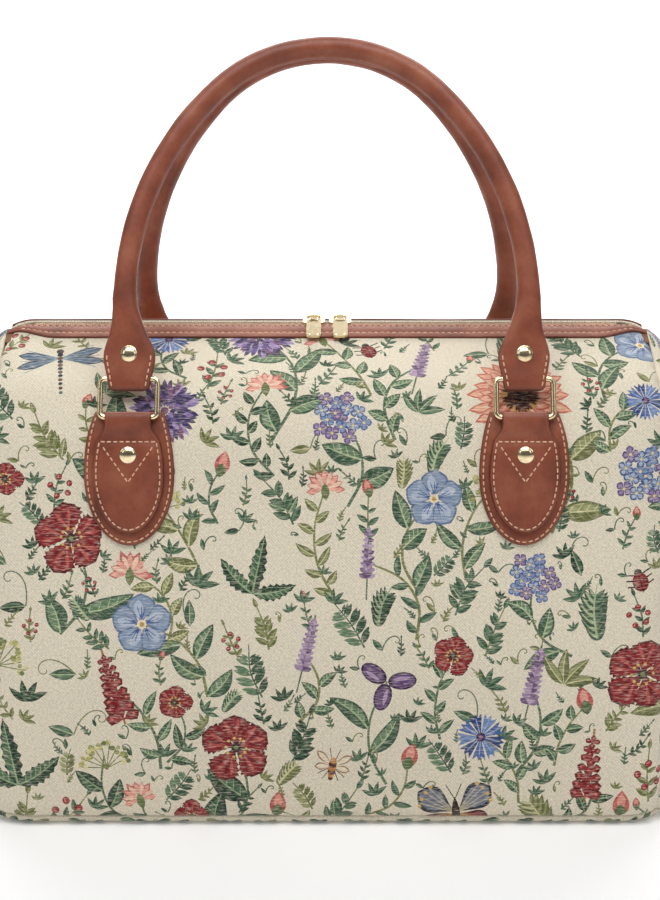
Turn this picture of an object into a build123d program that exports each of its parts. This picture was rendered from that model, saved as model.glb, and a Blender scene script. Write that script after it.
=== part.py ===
"""Soft travel bag: woven panels on a flat base, zipped ridge, two rolled handles on rectangular rings.

Frame: millimetres, +Z up, X along the bag, front face towards -Y, origin under the middle of the base.
"""

from build123d import *
import os
from math import acos, asin, cos, degrees, radians, sin, sqrt, tan

# --- bag body ---
bag_length = 460.0
base_depth = 190.0
ridge_height = 314.0
flank_lean = 5.0            # how far each side leans in, degrees from vertical
roof_slope = 33.0           # fall of the top from the ridge, degrees below level
ridge_half = 6.0            # half the width of the level stretch that holds the zip
zip_tilt = 13.5             # the zip faces forward by this much, degrees
shoulder_radius = 60.0      # long edge between side and roof
end_shoulder_radius = 35.0  # top corners seen from the front
base_edge_radius = 12.0
end_base_radius = 16.0      # bottom corners seen from the front
upright_edge_radius = 40.0  # vertical corners seen from above
base_seam_height = 6.0
end_seam_inset = 18.0       # the end seams stand this far in from the ends
panel_thickness = 2.0
lining_thickness = 0.6
board_thickness = 2.0
board_margin = 8.0

# --- zip ---
zip_slot_half = 6.0
tape_thickness = 0.6
tape_half = 17.0            # reach of each tape from the middle
coil_gap_half = 0.5
coil_width = 2.7
coil_height = 2.4
coil_end_inset = 35.0       # the coils stop where the ridge starts to bend down
zip_end_clearance = 1.0     # between the trims' ends and the end seams
trim_start = 6.2            # inner edge of each trim, from the middle
trim_width = 13.0
trim_thickness = 1.8
trim_point = 9.0            # length of the cut-off corner at each trim end
lining_slot_half = 8.0

# --- sliders and pulls ---
slider_length = 14.5
slider_half_width = 5.0
slider_plate = 1.4
slider_web_half = 0.3
slider_clearance = 0.3
slider_flange = 1.0
slider_rest_gap = 3.0       # between the two sliders' noses when closed
slider_round = 2.0          # corner radius of its plates
slider_web_share = 0.6      # part of its length that the web and the flanges take
bridge_wire_radius = 0.9
bridge_height = 2.9         # wire centre above the top plate
bridge_post_width = 2.6
bridge_post_length = 1.6
bridge_length = 9.0
pull_knuckle_radius = 2.0
pull_knuckle_length = 4.5
pull_bore_clearance = 0.08
pull_length = 24.0
pull_width = 9.6
pull_thickness = 1.8
pull_slope = 30.0           # hang of the pull over the front trim, degrees below level
pull_rim = 1.9
pull_round = 1.8            # outer corner radius
pull_window_round = 1.0
pull_window_depth = 0.5

# --- rings and their leather ---
ring_offset_x = 122.5
ring_wire_radius = 1.7
ring_inner_width = 32.0
ring_inner_height = 20.7
ring_corner_radius = 3.2
ring_tilt = 18.0            # lean of the standing ring towards the bag
ring_bar_height = 257.5     # height on the skin of the lower bar's seat
bar_clearance = 0.15
leather_middle = 224.0      # height of the widest place of the shield and of the tab
shield_thickness = 2.0
shield_width = 56.0
shield_top = 262.0
shield_drop = 44.0          # from the widest place down to the tip
shield_rise = 60.0          # half height of the ellipse above the widest place, cut off at the top
tab_layer = 1.6             # one layer of leather; the tab is folded double
tab_width = 44.0
tab_drop = 36.0
tab_rise = 46.0
tab_fold_length = 14.0      # the fold round the bar flattens out over this length
loop_width = 28.6

# --- handles ---
handle_radius = 7.0
core_radius = 4.7
core_clearance = 0.1
core_tuck = 6.0             # the core reaches this far down into each flattened end
handle_leg_x = 126.0
handle_rise = 214.0         # from the ring's upper bar to the middle of the arch
handle_gap = 4.0            # between the two handles where they lean together
arch_side_radius = 190.0
arch_top_radius = 100.0
handle_end_width = 31.5
handle_end_widest = 17.0    # height of the widest place above the ring bar
handle_end_height = 52.0
handle_tube_foot = 24.0     # the round tube starts above the rivet's cap
handle_end_rivet = 15.5
handle_neck_share = 0.8     # flat end's width at its top, as a part of the tube's

# --- rivets ---
rivet_cap_radius = 5.0
rivet_cap_height = 1.6
rivet_cap_taper = 35.0
rivet_shank_radius = 1.6
rivet_shank_clearance = 0.05
tab_rivet_height = 236.5
washer_radius = 4.0
washer_thickness = 0.45
washer_clearance = 0.05

# --- worked out from the sizes above ---
half_length = bag_length / 2
half_depth = base_depth / 2
end_seam_x = half_length - end_seam_inset
zip_half_length = end_seam_x - zip_end_clearance
coil_half_length = half_length - coil_end_inset
ridge_drop = 2 * ridge_half * tan(radians(zip_tilt))
bar_spacing = ring_inner_height + 2 * ring_wire_radius
loop_bore = ring_wire_radius + bar_clearance
loop_radius = loop_bore + tab_layer
tab_thickness = 2 * tab_layer
beyond = 2 * max(bag_length, ridge_height)


def shoulder_corner(ridge_end_height):
    """Where the side's line meets the roof's line, as (distance from the middle, height)."""
    lean = tan(radians(flank_lean))
    fall = tan(radians(roof_slope))
    height = (ridge_end_height + (ridge_half - half_depth) * fall) / (1 - lean * fall)
    return half_depth - lean * height, height


def ridge_end(facing):
    """Height of the level ridge stretch's end; facing is -1 at the front and 1 at the back."""
    return ridge_height - ridge_drop * (1 - facing) / 2


def envelope_section(inset):
    """Outline of the bag seen from its end, moved in by inset."""
    front_out, front_up = shoulder_corner(ridge_end(-1))
    back_out, back_up = shoulder_corner(ridge_end(1))
    with BuildSketch(Plane.YZ) as section:
        with BuildLine():
            Polyline(
                (-half_depth, 0),
                (-front_out, front_up),
                (-ridge_half, ridge_end(-1)),
                (ridge_half, ridge_end(1)),
                (back_out, back_up),
                (half_depth, 0),
                close=True,
            )
        make_face()
        fillet(section.vertices().sort_by(Axis.Y)[2:4], shoulder_radius)
        fillet(section.vertices().sort_by(Axis.Y)[:2], base_edge_radius)
        if inset:
            offset(amount=-inset, kind=Kind.INTERSECTION)
    return section.sketch


def envelope(inset):
    """Solid of the whole bag, moved in by inset on every side."""
    with BuildPart() as body:
        extrude(to_extrude=envelope_section(inset), amount=half_length - inset, both=True)
        with BuildSketch(Plane.XZ) as front_view:
            with Locations((0, inset)):
                Rectangle(bag_length - 2 * inset, ridge_height - 2 * inset, align=(Align.CENTER, Align.MIN))
            fillet(front_view.vertices().group_by(Axis.Y)[-1], end_shoulder_radius - inset)
            fillet(front_view.vertices().group_by(Axis.Y)[0], end_base_radius - inset)
        extrude(amount=beyond, both=True, mode=Mode.INTERSECT)
        with BuildSketch() as plan:
            Rectangle(bag_length - 2 * inset, base_depth - 2 * inset)
            fillet(plan.vertices(), upright_edge_radius - inset)
        extrude(amount=beyond, both=True, mode=Mode.INTERSECT)
    return body.part


def envelope_layer(outer_inset, inner_inset):
    """Layer of even thickness that follows the bag's skin."""
    with BuildPart() as layer:
        add(envelope(outer_inset))
        add(envelope(inner_inset), mode=Mode.SUBTRACT)
    return layer.part


def skin_seat(height, facing):
    """Point and outward direction of the skin at a height on its side or its shoulder arc."""
    lean = radians(flank_lean)
    corner_out, corner_up = shoulder_corner(ridge_end(facing))
    turn = radians(90 - flank_lean - roof_slope)
    tangent = shoulder_radius * tan(turn / 2)
    arc_out = corner_out + tangent * sin(lean)
    arc_up = corner_up - tangent * cos(lean)
    if height < arc_up:
        out = half_depth - height * tan(lean)
        return Vector(0, facing * out, height), Vector(0, facing * cos(lean), sin(lean))
    centre_out = arc_out - shoulder_radius * cos(lean)
    centre_up = arc_up - shoulder_radius * sin(lean)
    rise = (height - centre_up) / shoulder_radius
    run = sqrt(1 - rise * rise)
    out = centre_out + shoulder_radius * run
    return Vector(0, facing * out, height), Vector(0, facing * run, rise)


def leather_outline(centre, width, drop, rise, top):
    """Egg-shaped leather cut, drawn on the open sketch: half ellipses below and above, level at the top."""
    with Locations((centre, leather_middle)):
        Ellipse(width / 2, rise)
        Rectangle(width, rise, align=(Align.CENTER, Align.MIN), mode=Mode.INTERSECT)
        Ellipse(width / 2, drop)
    with Locations((centre, top)):
        Rectangle(width, rise + drop, align=(Align.CENTER, Align.MAX), mode=Mode.INTERSECT)


def write(part, label):
    """Label a finished piece and write its file."""
    part.label = label
    export_step(part, f"parts/{label}.step")


os.makedirs("parts", exist_ok=True)
ends = ((-1, "left"), (1, "right"))
faces = ((-1, "front"), (1, "back"))

# --- datum planes of the zip; its local y points to the back, its local z out of the ridge ---
zip_plane = Plane(
    origin=(0, 0, ridge_height - ridge_drop / 2),
    x_dir=(1, 0, 0),
    z_dir=(0, -sin(radians(zip_tilt)), cos(radians(zip_tilt))),
)
tape_top = -panel_thickness
coil_top = tape_top + coil_height
slider_roof = coil_top + slider_clearance
slider_floor = tape_top - tape_thickness - slider_clearance
shank_hole = rivet_shank_radius + rivet_shank_clearance


def rivet_plane(facing):
    """Plane on the skin at the tab rivets, its normal outwards."""
    point, normal = skin_seat(tab_rivet_height, facing)
    return Plane(origin=point, x_dir=(1, 0, 0), z_dir=normal)


def shank_rod(x, facing, radius):
    """Rod through the skin at one tab rivet."""
    with BuildPart() as rod:
        with BuildSketch(rivet_plane(facing)):
            with Locations((x, 0)):
                Circle(radius)
        extrude(amount=4 * panel_thickness + tab_thickness, both=True)
    return rod.part


# --- woven panels: one shell, cut apart at its seams ---
shell = envelope_layer(0, panel_thickness)

with BuildPart() as base_panel:
    add(shell)
    split(bisect_by=Plane.XY.offset(base_seam_height), keep=Keep.BOTTOM)
write(base_panel.part, "base_panel")

for side, end_name in ends:
    with BuildPart() as end_panel:
        add(shell)
        split(bisect_by=Plane.XY.offset(base_seam_height), keep=Keep.TOP)
        split(bisect_by=Plane((side * end_seam_x, 0, 0), z_dir=(side, 0, 0)), keep=Keep.TOP)
    write(end_panel.part, f"{end_name}_end_panel")

for facing, face_name in faces:
    with BuildPart() as side_panel:
        add(shell)
        split(bisect_by=Plane.XY.offset(base_seam_height), keep=Keep.TOP)
        split(bisect_by=Plane((-end_seam_x, 0, 0), z_dir=(1, 0, 0)), keep=Keep.TOP)
        split(bisect_by=Plane((end_seam_x, 0, 0), z_dir=(1, 0, 0)), keep=Keep.BOTTOM)
        split(bisect_by=Plane((0, facing * zip_slot_half, 0), z_dir=(0, facing, 0)), keep=Keep.TOP)
        for side, end_name in ends:
            add(shank_rod(side * ring_offset_x, facing, shank_hole), mode=Mode.SUBTRACT)
    write(side_panel.part, f"{face_name}_panel")

# --- lining: a thin shell inside the tapes, slit along the zip; the loose board lies on its floor ---
lining_inset = panel_thickness + tape_thickness
with BuildPart() as lining:
    add(envelope_layer(lining_inset, lining_inset + lining_thickness))
    with BuildSketch(Plane.XY.offset(ridge_height / 2)):
        Rectangle(2 * zip_half_length, 2 * lining_slot_half)
    extrude(amount=ridge_height, mode=Mode.SUBTRACT)
write(lining.part, "lining")

with BuildPart() as base_board:
    with BuildSketch(Plane.XY.offset(lining_inset + lining_thickness)) as board_plan:
        edge = base_edge_radius + board_margin
        Rectangle(bag_length - 2 * edge, base_depth - 2 * edge)
        fillet(board_plan.vertices(), upright_edge_radius - board_margin)
    extrude(amount=board_thickness)
write(base_board.part, "base_board")

# --- zip: trims on the skin, tapes under it, a coil bar on each tape ---
trim_skin = envelope_layer(-trim_thickness, 0)
tape_skin = envelope_layer(panel_thickness, lining_inset)
trim_end = trim_start + trim_width * cos(radians(roof_slope))
for facing, face_name in faces:
    with BuildPart() as zip_trim:
        add(trim_skin)
        with BuildSketch(Plane.XY.offset(ridge_height / 2)) as trim_plan:
            with BuildLine():
                Polyline(
                    (-zip_half_length, facing * trim_start),
                    (zip_half_length, facing * trim_start),
                    (zip_half_length - trim_point, facing * trim_end),
                    (-zip_half_length + trim_point, facing * trim_end),
                    close=True,
                )
            make_face()
        extrude(amount=ridge_height, mode=Mode.INTERSECT)
    write(zip_trim.part, f"{face_name}_zip_trim")

    coil_edge = Plane(
        origin=zip_plane.origin + zip_plane.y_dir * facing * coil_gap_half,
        x_dir=(1, 0, 0),
        z_dir=zip_plane.y_dir * facing,
    )
    with BuildPart() as zip_tape:
        add(tape_skin)
        with BuildSketch(Plane.XY.offset(ridge_height / 2)):
            Rectangle(2 * zip_half_length, 2 * tape_half)
        extrude(amount=ridge_height, mode=Mode.INTERSECT)
        split(bisect_by=coil_edge, keep=Keep.TOP)
    write(zip_tape.part, f"{face_name}_zip_tape")

    with BuildPart() as zip_coil:
        with BuildSketch(zip_plane.offset(tape_top)):
            with Locations((0, facing * (coil_gap_half + coil_width / 2))):
                Rectangle(2 * coil_half_length, coil_width)
        extrude(amount=coil_height)
    write(zip_coil.part, f"{face_name}_zip_coil")

# --- sliders: two plates joined by a web in the slit, with a bridge wire that carries the pull ---
slider_top = slider_roof + slider_plate
wire_height = slider_top + bridge_height
for side, end_name in ends:
    middle = side * (slider_rest_gap + slider_length) / 2
    with BuildPart() as slider:
        with BuildSketch(zip_plane.offset(slider_roof)):
            with Locations((middle, 0)):
                RectangleRounded(slider_length, 2 * slider_half_width, slider_round)
        extrude(amount=slider_plate)
        with BuildSketch(zip_plane.offset(slider_floor)):
            with Locations((middle, 0)):
                RectangleRounded(slider_length, 2 * slider_half_width, slider_round)
        extrude(amount=-slider_plate)
        with BuildSketch(zip_plane.offset(slider_floor)):
            with Locations((middle, 0)):
                Rectangle(slider_length * slider_web_share, 2 * slider_web_half)
        extrude(amount=slider_roof - slider_floor)
        with BuildSketch(zip_plane.offset(tape_top + slider_clearance)):
            flange_middle = slider_half_width - slider_flange / 2
            with Locations((middle, flange_middle), (middle, -flange_middle)):
                Rectangle(slider_length * slider_web_share, slider_flange)
        extrude(amount=slider_roof - tape_top - slider_clearance)
        with BuildSketch(zip_plane.offset(slider_top)):
            post_offset = (bridge_length - bridge_post_length) / 2
            with Locations((middle - post_offset, 0), (middle + post_offset, 0)):
                Rectangle(bridge_post_length, bridge_post_width)
        extrude(amount=bridge_height + bridge_wire_radius)
        wire_end = Plane(
            origin=zip_plane.from_local_coords(Vector(middle - post_offset, 0, wire_height)), z_dir=(1, 0, 0)
        )
        with BuildSketch(wire_end):
            Circle(bridge_wire_radius)
        extrude(amount=2 * post_offset)
    write(slider.part, f"{end_name}_zip_slider")

    pull_axis = zip_plane.from_local_coords(Vector(middle, 0, wire_height))
    pull_down = Vector(0, -cos(radians(pull_slope)), -sin(radians(pull_slope)))
    pull_plane = Plane(origin=pull_axis, x_dir=(1, 0, 0), z_dir=Vector(1, 0, 0).cross(pull_down * -1))
    plate_length = pull_length - pull_knuckle_radius
    with BuildPart() as pull:
        with BuildSketch(pull_plane.offset(-pull_thickness / 2)):
            with Locations((0, -pull_knuckle_radius)):
                Rectangle(pull_knuckle_length, 2 * pull_knuckle_radius)
            with Locations((0, -pull_knuckle_radius * 1.5 - plate_length / 2)):
                RectangleRounded(pull_width, plate_length - pull_knuckle_radius, pull_round)
        extrude(amount=pull_thickness)
        with BuildSketch(pull_plane.offset(pull_thickness / 2 - pull_window_depth)):
            with Locations((0, -pull_knuckle_radius * 1.5 - plate_length / 2)):
                window_length = plate_length - pull_knuckle_radius - 2 * pull_rim
                RectangleRounded(pull_width - 2 * pull_rim, window_length, pull_window_round)
        extrude(amount=pull_window_depth, mode=Mode.SUBTRACT)
        knuckle_end = Plane(origin=pull_axis - Vector(pull_knuckle_length / 2, 0, 0), z_dir=(1, 0, 0))
        with BuildSketch(knuckle_end):
            Circle(pull_knuckle_radius)
        extrude(amount=pull_knuckle_length)
        with BuildSketch(knuckle_end):
            Circle(bridge_wire_radius + pull_bore_clearance)
        extrude(amount=pull_knuckle_length, mode=Mode.SUBTRACT)
    write(pull.part, f"{end_name}_zip_pull")


# --- each face of the bag: shields, loop tabs, rings, handle and rivets ---
def arch_path(plane):
    """Middle line of a handle's tube: two straight legs and an arch of four tangent arcs."""
    side_turn = acos((arch_side_radius - handle_leg_x) / (arch_side_radius - arch_top_radius))
    arch_height = arch_side_radius * sin(side_turn) + arch_top_radius * (1 - sin(side_turn))
    spring = handle_rise - arch_height
    foot = (-handle_leg_x, handle_tube_foot)
    with BuildLine(plane) as path:
        leg = Line(foot, (-handle_leg_x, spring))
        rise = JernArc(leg @ 1, leg % 1, arch_side_radius, -degrees(side_turn))
        crown = JernArc(rise @ 1, rise % 1, arch_top_radius, -2 * (90 - degrees(side_turn)))
        fall = JernArc(crown @ 1, crown % 1, arch_side_radius, -degrees(side_turn))
        Line(fall @ 1, (handle_leg_x, handle_tube_foot))
    return path.wires()[0]


shield_skin = envelope_layer(-shield_thickness, 0)
tab_skin = envelope_layer(-shield_thickness - tab_thickness, -shield_thickness)
spots = tuple((side * ring_offset_x, handle_end_rivet) for side, end_name in ends)
for facing, face_name in faces:
    seat_point, seat_normal = skin_seat(ring_bar_height, facing)
    lower_bar = seat_point + seat_normal * (shield_thickness + loop_radius)
    ring_up = Vector(0, -facing * sin(radians(ring_tilt)), cos(radians(ring_tilt)))
    upper_bar = lower_bar + ring_up * bar_spacing
    handle_lean = asin((abs(upper_bar.Y) - handle_radius - handle_gap / 2) / handle_rise)
    handle_up = Vector(0, -facing * sin(handle_lean), cos(handle_lean))
    ring_plane = Plane(origin=lower_bar, x_dir=(1, 0, 0), z_dir=Vector(1, 0, 0).cross(ring_up))
    handle_plane = Plane(origin=upper_bar, x_dir=(1, 0, 0), z_dir=Vector(1, 0, 0).cross(handle_up))

    for side, end_name in ends:
        centre = side * ring_offset_x
        with BuildPart() as shield:
            add(shield_skin)
            with BuildSketch(Plane.XZ):
                leather_outline(centre, shield_width, shield_drop, shield_rise, shield_top)
            extrude(amount=-facing * base_depth, mode=Mode.INTERSECT)
            add(shank_rod(centre, facing, shank_hole), mode=Mode.SUBTRACT)
        write(shield.part, f"{face_name}_{end_name}_shield")

        fold_point, fold_normal = skin_seat(ring_bar_height - tab_fold_length, facing)
        fold_middle = fold_point + fold_normal * (shield_thickness + tab_layer)
        with BuildPart() as tab:
            add(tab_skin)
            with BuildSketch(Plane.XZ):
                leather_outline(centre, tab_width, tab_drop, tab_rise, ring_bar_height - tab_layer)
            extrude(amount=-facing * base_depth, mode=Mode.INTERSECT)
            with BuildSketch(Plane.YZ.offset(centre - loop_width / 2)):
                with Locations((lower_bar.Y, lower_bar.Z)):
                    Circle(loop_radius)
                with Locations((fold_middle.Y, fold_middle.Z)):
                    Circle(tab_layer)
                make_hull()
            extrude(amount=loop_width)
            extrude(
                to_extrude=envelope_section(-shield_thickness),
                amount=half_length,
                both=True,
                mode=Mode.SUBTRACT,
            )
            with BuildSketch(Plane.YZ.offset(centre - loop_width)):
                with Locations((lower_bar.Y, lower_bar.Z)):
                    Circle(loop_bore)
            extrude(amount=2 * loop_width, mode=Mode.SUBTRACT)
            add(shank_rod(centre, facing, shank_hole), mode=Mode.SUBTRACT)
        write(tab.part, f"{face_name}_{end_name}_tab")

        with BuildPart() as ring:
            with BuildLine(ring_plane) as ring_line:
                ring_half = ring_inner_width / 2 + ring_wire_radius
                FilletPolyline(
                    (centre - ring_half, 0),
                    (centre + ring_half, 0),
                    (centre + ring_half, bar_spacing),
                    (centre - ring_half, bar_spacing),
                    close=True,
                    radius=ring_corner_radius,
                )
            with BuildSketch(Plane(origin=ring_line.wires()[0] @ 0, z_dir=ring_line.wires()[0] % 0)):
                Circle(ring_wire_radius)
            sweep(path=ring_line.wires()[0])
        write(ring.part, f"{face_name}_{end_name}_ring")

    with BuildPart() as core:
        path = arch_path(handle_plane)
        with BuildSketch(Plane(origin=path @ 0, z_dir=path % 0)):
            Circle(core_radius)
        sweep(path=path)
        with BuildSketch(handle_plane):
            Rectangle(4 * handle_leg_x, 2 * (handle_end_height - core_tuck))
        extrude(amount=4 * handle_radius, both=True, mode=Mode.SUBTRACT)
    write(core.part, f"{face_name}_handle_core")

    with BuildPart() as bore:
        with BuildSketch(Plane(origin=path @ 0, z_dir=path % 0)):
            Circle(core_radius + core_clearance)
        sweep(path=path)
        with BuildSketch(handle_plane):
            Rectangle(4 * handle_leg_x, 2 * (handle_end_height - core_tuck - core_clearance))
        extrude(amount=4 * handle_radius, both=True, mode=Mode.SUBTRACT)

    with BuildPart() as handle:
        with BuildSketch(Plane(origin=path @ 0, z_dir=path % 0)):
            Circle(handle_radius)
        sweep(path=path)
        with BuildSketch(handle_plane.offset(-loop_radius)):
            for side, end_name in ends:
                centre = side * ring_offset_x
                leg = side * handle_leg_x
                with BuildLine():
                    Polyline(
                        (centre + handle_end_width / 2, handle_end_widest),
                        (centre + loop_width / 2, handle_end_widest / 2),
                        (centre + loop_width / 2, 0),
                        (centre - loop_width / 2, 0),
                        (centre - loop_width / 2, handle_end_widest / 2),
                        (centre - handle_end_width / 2, handle_end_widest),
                        (leg - handle_radius * handle_neck_share, handle_end_height),
                        (leg + handle_radius * handle_neck_share, handle_end_height),
                        close=True,
                    )
                make_face()
        extrude(amount=2 * loop_radius)
        for side, end_name in ends:
            centre = side * ring_offset_x
            with BuildSketch(Plane.YZ.offset(centre - loop_width / 2)):
                with Locations((upper_bar.Y, upper_bar.Z)):
                    Circle(loop_radius)
            extrude(amount=loop_width)
            with BuildSketch(Plane.YZ.offset(centre - loop_width)):
                with Locations((upper_bar.Y, upper_bar.Z)):
                    Circle(loop_bore)
            extrude(amount=2 * loop_width, mode=Mode.SUBTRACT)
        with BuildSketch(handle_plane):
            with Locations(*spots):
                Circle(shank_hole)
        extrude(amount=2 * handle_radius, both=True, mode=Mode.SUBTRACT)
        add(bore.part, mode=Mode.SUBTRACT)
    write(handle.part, f"{face_name}_handle")

    with BuildPart() as handle_rivets:
        for facing_out in (-1, 1):
            with BuildSketch(handle_plane.offset(facing_out * loop_radius)):
                with Locations(*spots):
                    Circle(rivet_cap_radius)
            extrude(amount=facing_out * rivet_cap_height, taper=rivet_cap_taper)
        with BuildSketch(handle_plane.offset(-loop_radius)):
            with Locations(*spots):
                Circle(rivet_shank_radius)
        extrude(amount=2 * loop_radius)
    write(handle_rivets.part, f"{face_name}_handle_rivets")

    with BuildPart() as tab_rivets:
        skin = rivet_plane(facing)
        cap_level = shield_thickness + tab_thickness
        tab_spots = tuple((side * ring_offset_x, 0) for side, end_name in ends)
        with BuildSketch(skin.offset(cap_level)):
            with Locations(*tab_spots):
                Circle(rivet_cap_radius)
        extrude(amount=rivet_cap_height, taper=rivet_cap_taper)
        with BuildSketch(skin.offset(-panel_thickness - washer_clearance)):
            with Locations(*tab_spots):
                Circle(rivet_shank_radius)
        extrude(amount=cap_level + panel_thickness + washer_clearance)
        with BuildSketch(skin.offset(-panel_thickness - washer_clearance)):
            with Locations(*tab_spots):
                Circle(washer_radius)
        extrude(amount=-washer_thickness)
    write(tab_rivets.part, f"{face_name}_tab_rivets")
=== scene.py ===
import math
import random

import bmesh
import bpy
from bpy.props import FloatProperty, FloatVectorProperty, IntProperty, PointerProperty
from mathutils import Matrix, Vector, noise
from mathutils.bvhtree import BVHTree
from mathutils.geometry import delaunay_2d_cdt


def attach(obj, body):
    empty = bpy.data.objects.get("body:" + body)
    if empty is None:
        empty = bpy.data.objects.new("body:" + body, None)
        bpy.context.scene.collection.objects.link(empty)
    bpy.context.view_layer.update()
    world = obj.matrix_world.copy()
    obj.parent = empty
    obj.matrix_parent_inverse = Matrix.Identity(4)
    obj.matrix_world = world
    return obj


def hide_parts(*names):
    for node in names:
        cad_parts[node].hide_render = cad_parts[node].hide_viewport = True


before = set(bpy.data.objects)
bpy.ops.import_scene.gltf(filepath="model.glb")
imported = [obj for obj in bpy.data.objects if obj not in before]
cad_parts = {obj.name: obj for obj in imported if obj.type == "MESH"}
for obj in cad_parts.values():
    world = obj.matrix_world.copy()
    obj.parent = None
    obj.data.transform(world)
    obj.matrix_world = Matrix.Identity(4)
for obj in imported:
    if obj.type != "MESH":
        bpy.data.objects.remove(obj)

bl_info = {
    "name": "Tapestry holdall",
    "version": (1, 0, 0),
    "blender": (4, 5, 0),
    "location": "3D View > Sidebar > Holdall",
    "description": "Builds a zipped tapestry bag with rolled leather handles round its packed frame",
    "category": "Object",
}

MM = 0.001

# --- sizes that the frame's source also holds, in millimetres and degrees ---
HALF_LENGTH = 230.0
HALF_DEPTH = 95.0
RIDGE_HEIGHT = 314.0
RIDGE_HALF = 6.0
FLANK_LEAN = math.radians(5.0)
ROOF_SLOPE = math.radians(33.0)
ZIP_TILT = math.radians(13.5)
SHOULDER_RADIUS = 60.0
END_SHOULDER_RADIUS = 35.0
BASE_RADIUS = 12.0
END_BASE_RADIUS = 16.0
UPRIGHT_RADIUS = 40.0
SEAM_HEIGHT = 6.0
SEAM_X = 212.0
RING_X = 122.5
RING_TILT = math.radians(18.0)
BAR_HEIGHT = 257.5
BAR_SPACING = 24.1
LOOP_BORE = 1.85
TAB_LAYER = 1.6
LOOP_RADIUS = LOOP_BORE + TAB_LAYER
SHIELD_THICK = 2.0
TAB_THICK = 2 * TAB_LAYER
LEG_X = 126.0
HANDLE_RADIUS = 7.0
HANDLE_RISE = 214.0
HANDLE_GAP = 4.0
ARCH_SIDE = 190.0
ARCH_TOP = 100.0
HANDLE_RIVET = 15.5
TAB_RIVET_HEIGHT = 236.5
COIL_HALF = 195.0
TRIM_START = 6.2
TRIM_WIDTH = 13.0

FACES = (("front", -1), ("back", 1))
ENDS = (("left", -1), ("right", 1))


def linear(code):
    """Linear RGBA of an sRGB hex colour."""
    parts = [int(code[i : i + 2], 16) / 255 for i in (1, 3, 5)]
    return tuple(c / 12.92 if c <= 0.04045 else ((c + 0.055) / 1.055) ** 2.4 for c in parts) + (1.0,)


# --- what a user would change ---
class HoldallSizes(bpy.types.PropertyGroup):
    belly: FloatProperty(
        name="Belly", description="How far a filled side stands out", default=6.0 * MM, unit="LENGTH"
    )
    crease: FloatProperty(
        name="Creases", description="Height of the cloth's folds", default=1.0 * MM, unit="LENGTH"
    )
    thread_pitch: FloatProperty(
        name="Thread pitch", description="Spacing of the woven threads", default=0.95 * MM, unit="LENGTH"
    )
    stitch_pitch: FloatProperty(
        name="Stitch pitch", description="From one stitch to the next", default=4.0 * MM, unit="LENGTH"
    )
    stitch_length: FloatProperty(
        name="Stitch length", description="Seen length of one stitch", default=2.7 * MM, unit="LENGTH"
    )
    sewing_thread: FloatProperty(
        name="Sewing thread", description="Thickness of the sewing thread", default=0.8 * MM, unit="LENGTH"
    )
    coil_pitch: FloatProperty(
        name="Coil pitch", description="From one zip tooth to the next", default=1.5 * MM, unit="LENGTH"
    )
    print_seed: IntProperty(name="Print seed", description="Sets the plants out in another way", default=7)


def tint(name, description, code):
    """A colour that the panel shows, with an sRGB hex default."""
    shown = {"name": name, "description": description, "subtype": "COLOR"}
    return FloatVectorProperty(size=4, default=linear(code), **shown)


class HoldallColours(bpy.types.PropertyGroup):
    leather: tint("Leather", "Tanned leather where it is plain", "#86452f")
    # the dark leather tone is the real dye of the cut edges, and also painted shade where the handles' ends fold
    # round the rings
    leather_dark: tint("Leather, dark", "Leather in its folds and on its cut edges", "#4a2016")
    leather_light: tint("Leather, light", "Leather where it is rubbed", "#a9684c")
    ground: tint("Ground", "Undyed ground of the tapestry", "#e6dcc6")
    thread: tint("Thread", "Sewing thread", "#e8bf9f")
    gold: tint("Gold", "Plated rings, rivets, sliders and pulls", "#f1e0ba")
    lining: tint("Lining", "Plain woven lining", "#6b4a38")


def sizes():
    return bpy.context.scene.holdall_sizes


def colours():
    return bpy.context.scene.holdall_colours


# --- the bag's skin: where a point of the cloth lies ---
def ridge_end(facing):
    """Height of the ridge's level stretch at its front (-1) or back (1) end."""
    return RIDGE_HEIGHT - RIDGE_HALF * math.tan(ZIP_TILT) * (1 - facing)


def shoulder(facing):
    """(out, up) of the foot of the shoulder arc, of its centre and of its top."""
    lean, fall = math.tan(FLANK_LEAN), math.tan(ROOF_SLOPE)
    up = (ridge_end(facing) + (RIDGE_HALF - HALF_DEPTH) * fall) / (1 - lean * fall)
    out = HALF_DEPTH - lean * up
    turn = math.pi / 2 - FLANK_LEAN - ROOF_SLOPE
    tangent = SHOULDER_RADIUS * math.tan(turn / 2)
    foot = (out + tangent * math.sin(FLANK_LEAN), up - tangent * math.cos(FLANK_LEAN))
    level, rise = SHOULDER_RADIUS * math.cos(FLANK_LEAN), SHOULDER_RADIUS * math.sin(FLANK_LEAN)
    centre = (foot[0] - level, foot[1] - rise)
    high = math.pi / 2 - ROOF_SLOPE
    top = (centre[0] + SHOULDER_RADIUS * math.cos(high), centre[1] + SHOULDER_RADIUS * math.sin(high))
    return foot, centre, top


SHOULDERS = {facing: shoulder(facing) for name, facing in FACES}
BASE_CENTRE = HALF_DEPTH - BASE_RADIUS / math.tan((math.pi / 2 - FLANK_LEAN) / 2)
SEAM_TURN = math.asin((BASE_RADIUS - SEAM_HEIGHT) / BASE_RADIUS)
BASE_ARC = BASE_RADIUS * (SEAM_TURN + FLANK_LEAN)
SHOULDER_ARC = SHOULDER_RADIUS * (math.pi / 2 - FLANK_LEAN - ROOF_SLOPE)


def flank_length(facing):
    base_top = BASE_RADIUS * (1 + math.sin(FLANK_LEAN))
    return (SHOULDERS[facing][0][1] - base_top) / math.cos(FLANK_LEAN)


def roof_length(facing):
    top = SHOULDERS[facing][2]
    return (top[0] - RIDGE_HALF) / math.cos(ROOF_SLOPE)


def panel_length(facing):
    """Cloth from the base seam up to the zip."""
    return BASE_ARC + flank_length(facing) + SHOULDER_ARC + roof_length(facing)


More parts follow.
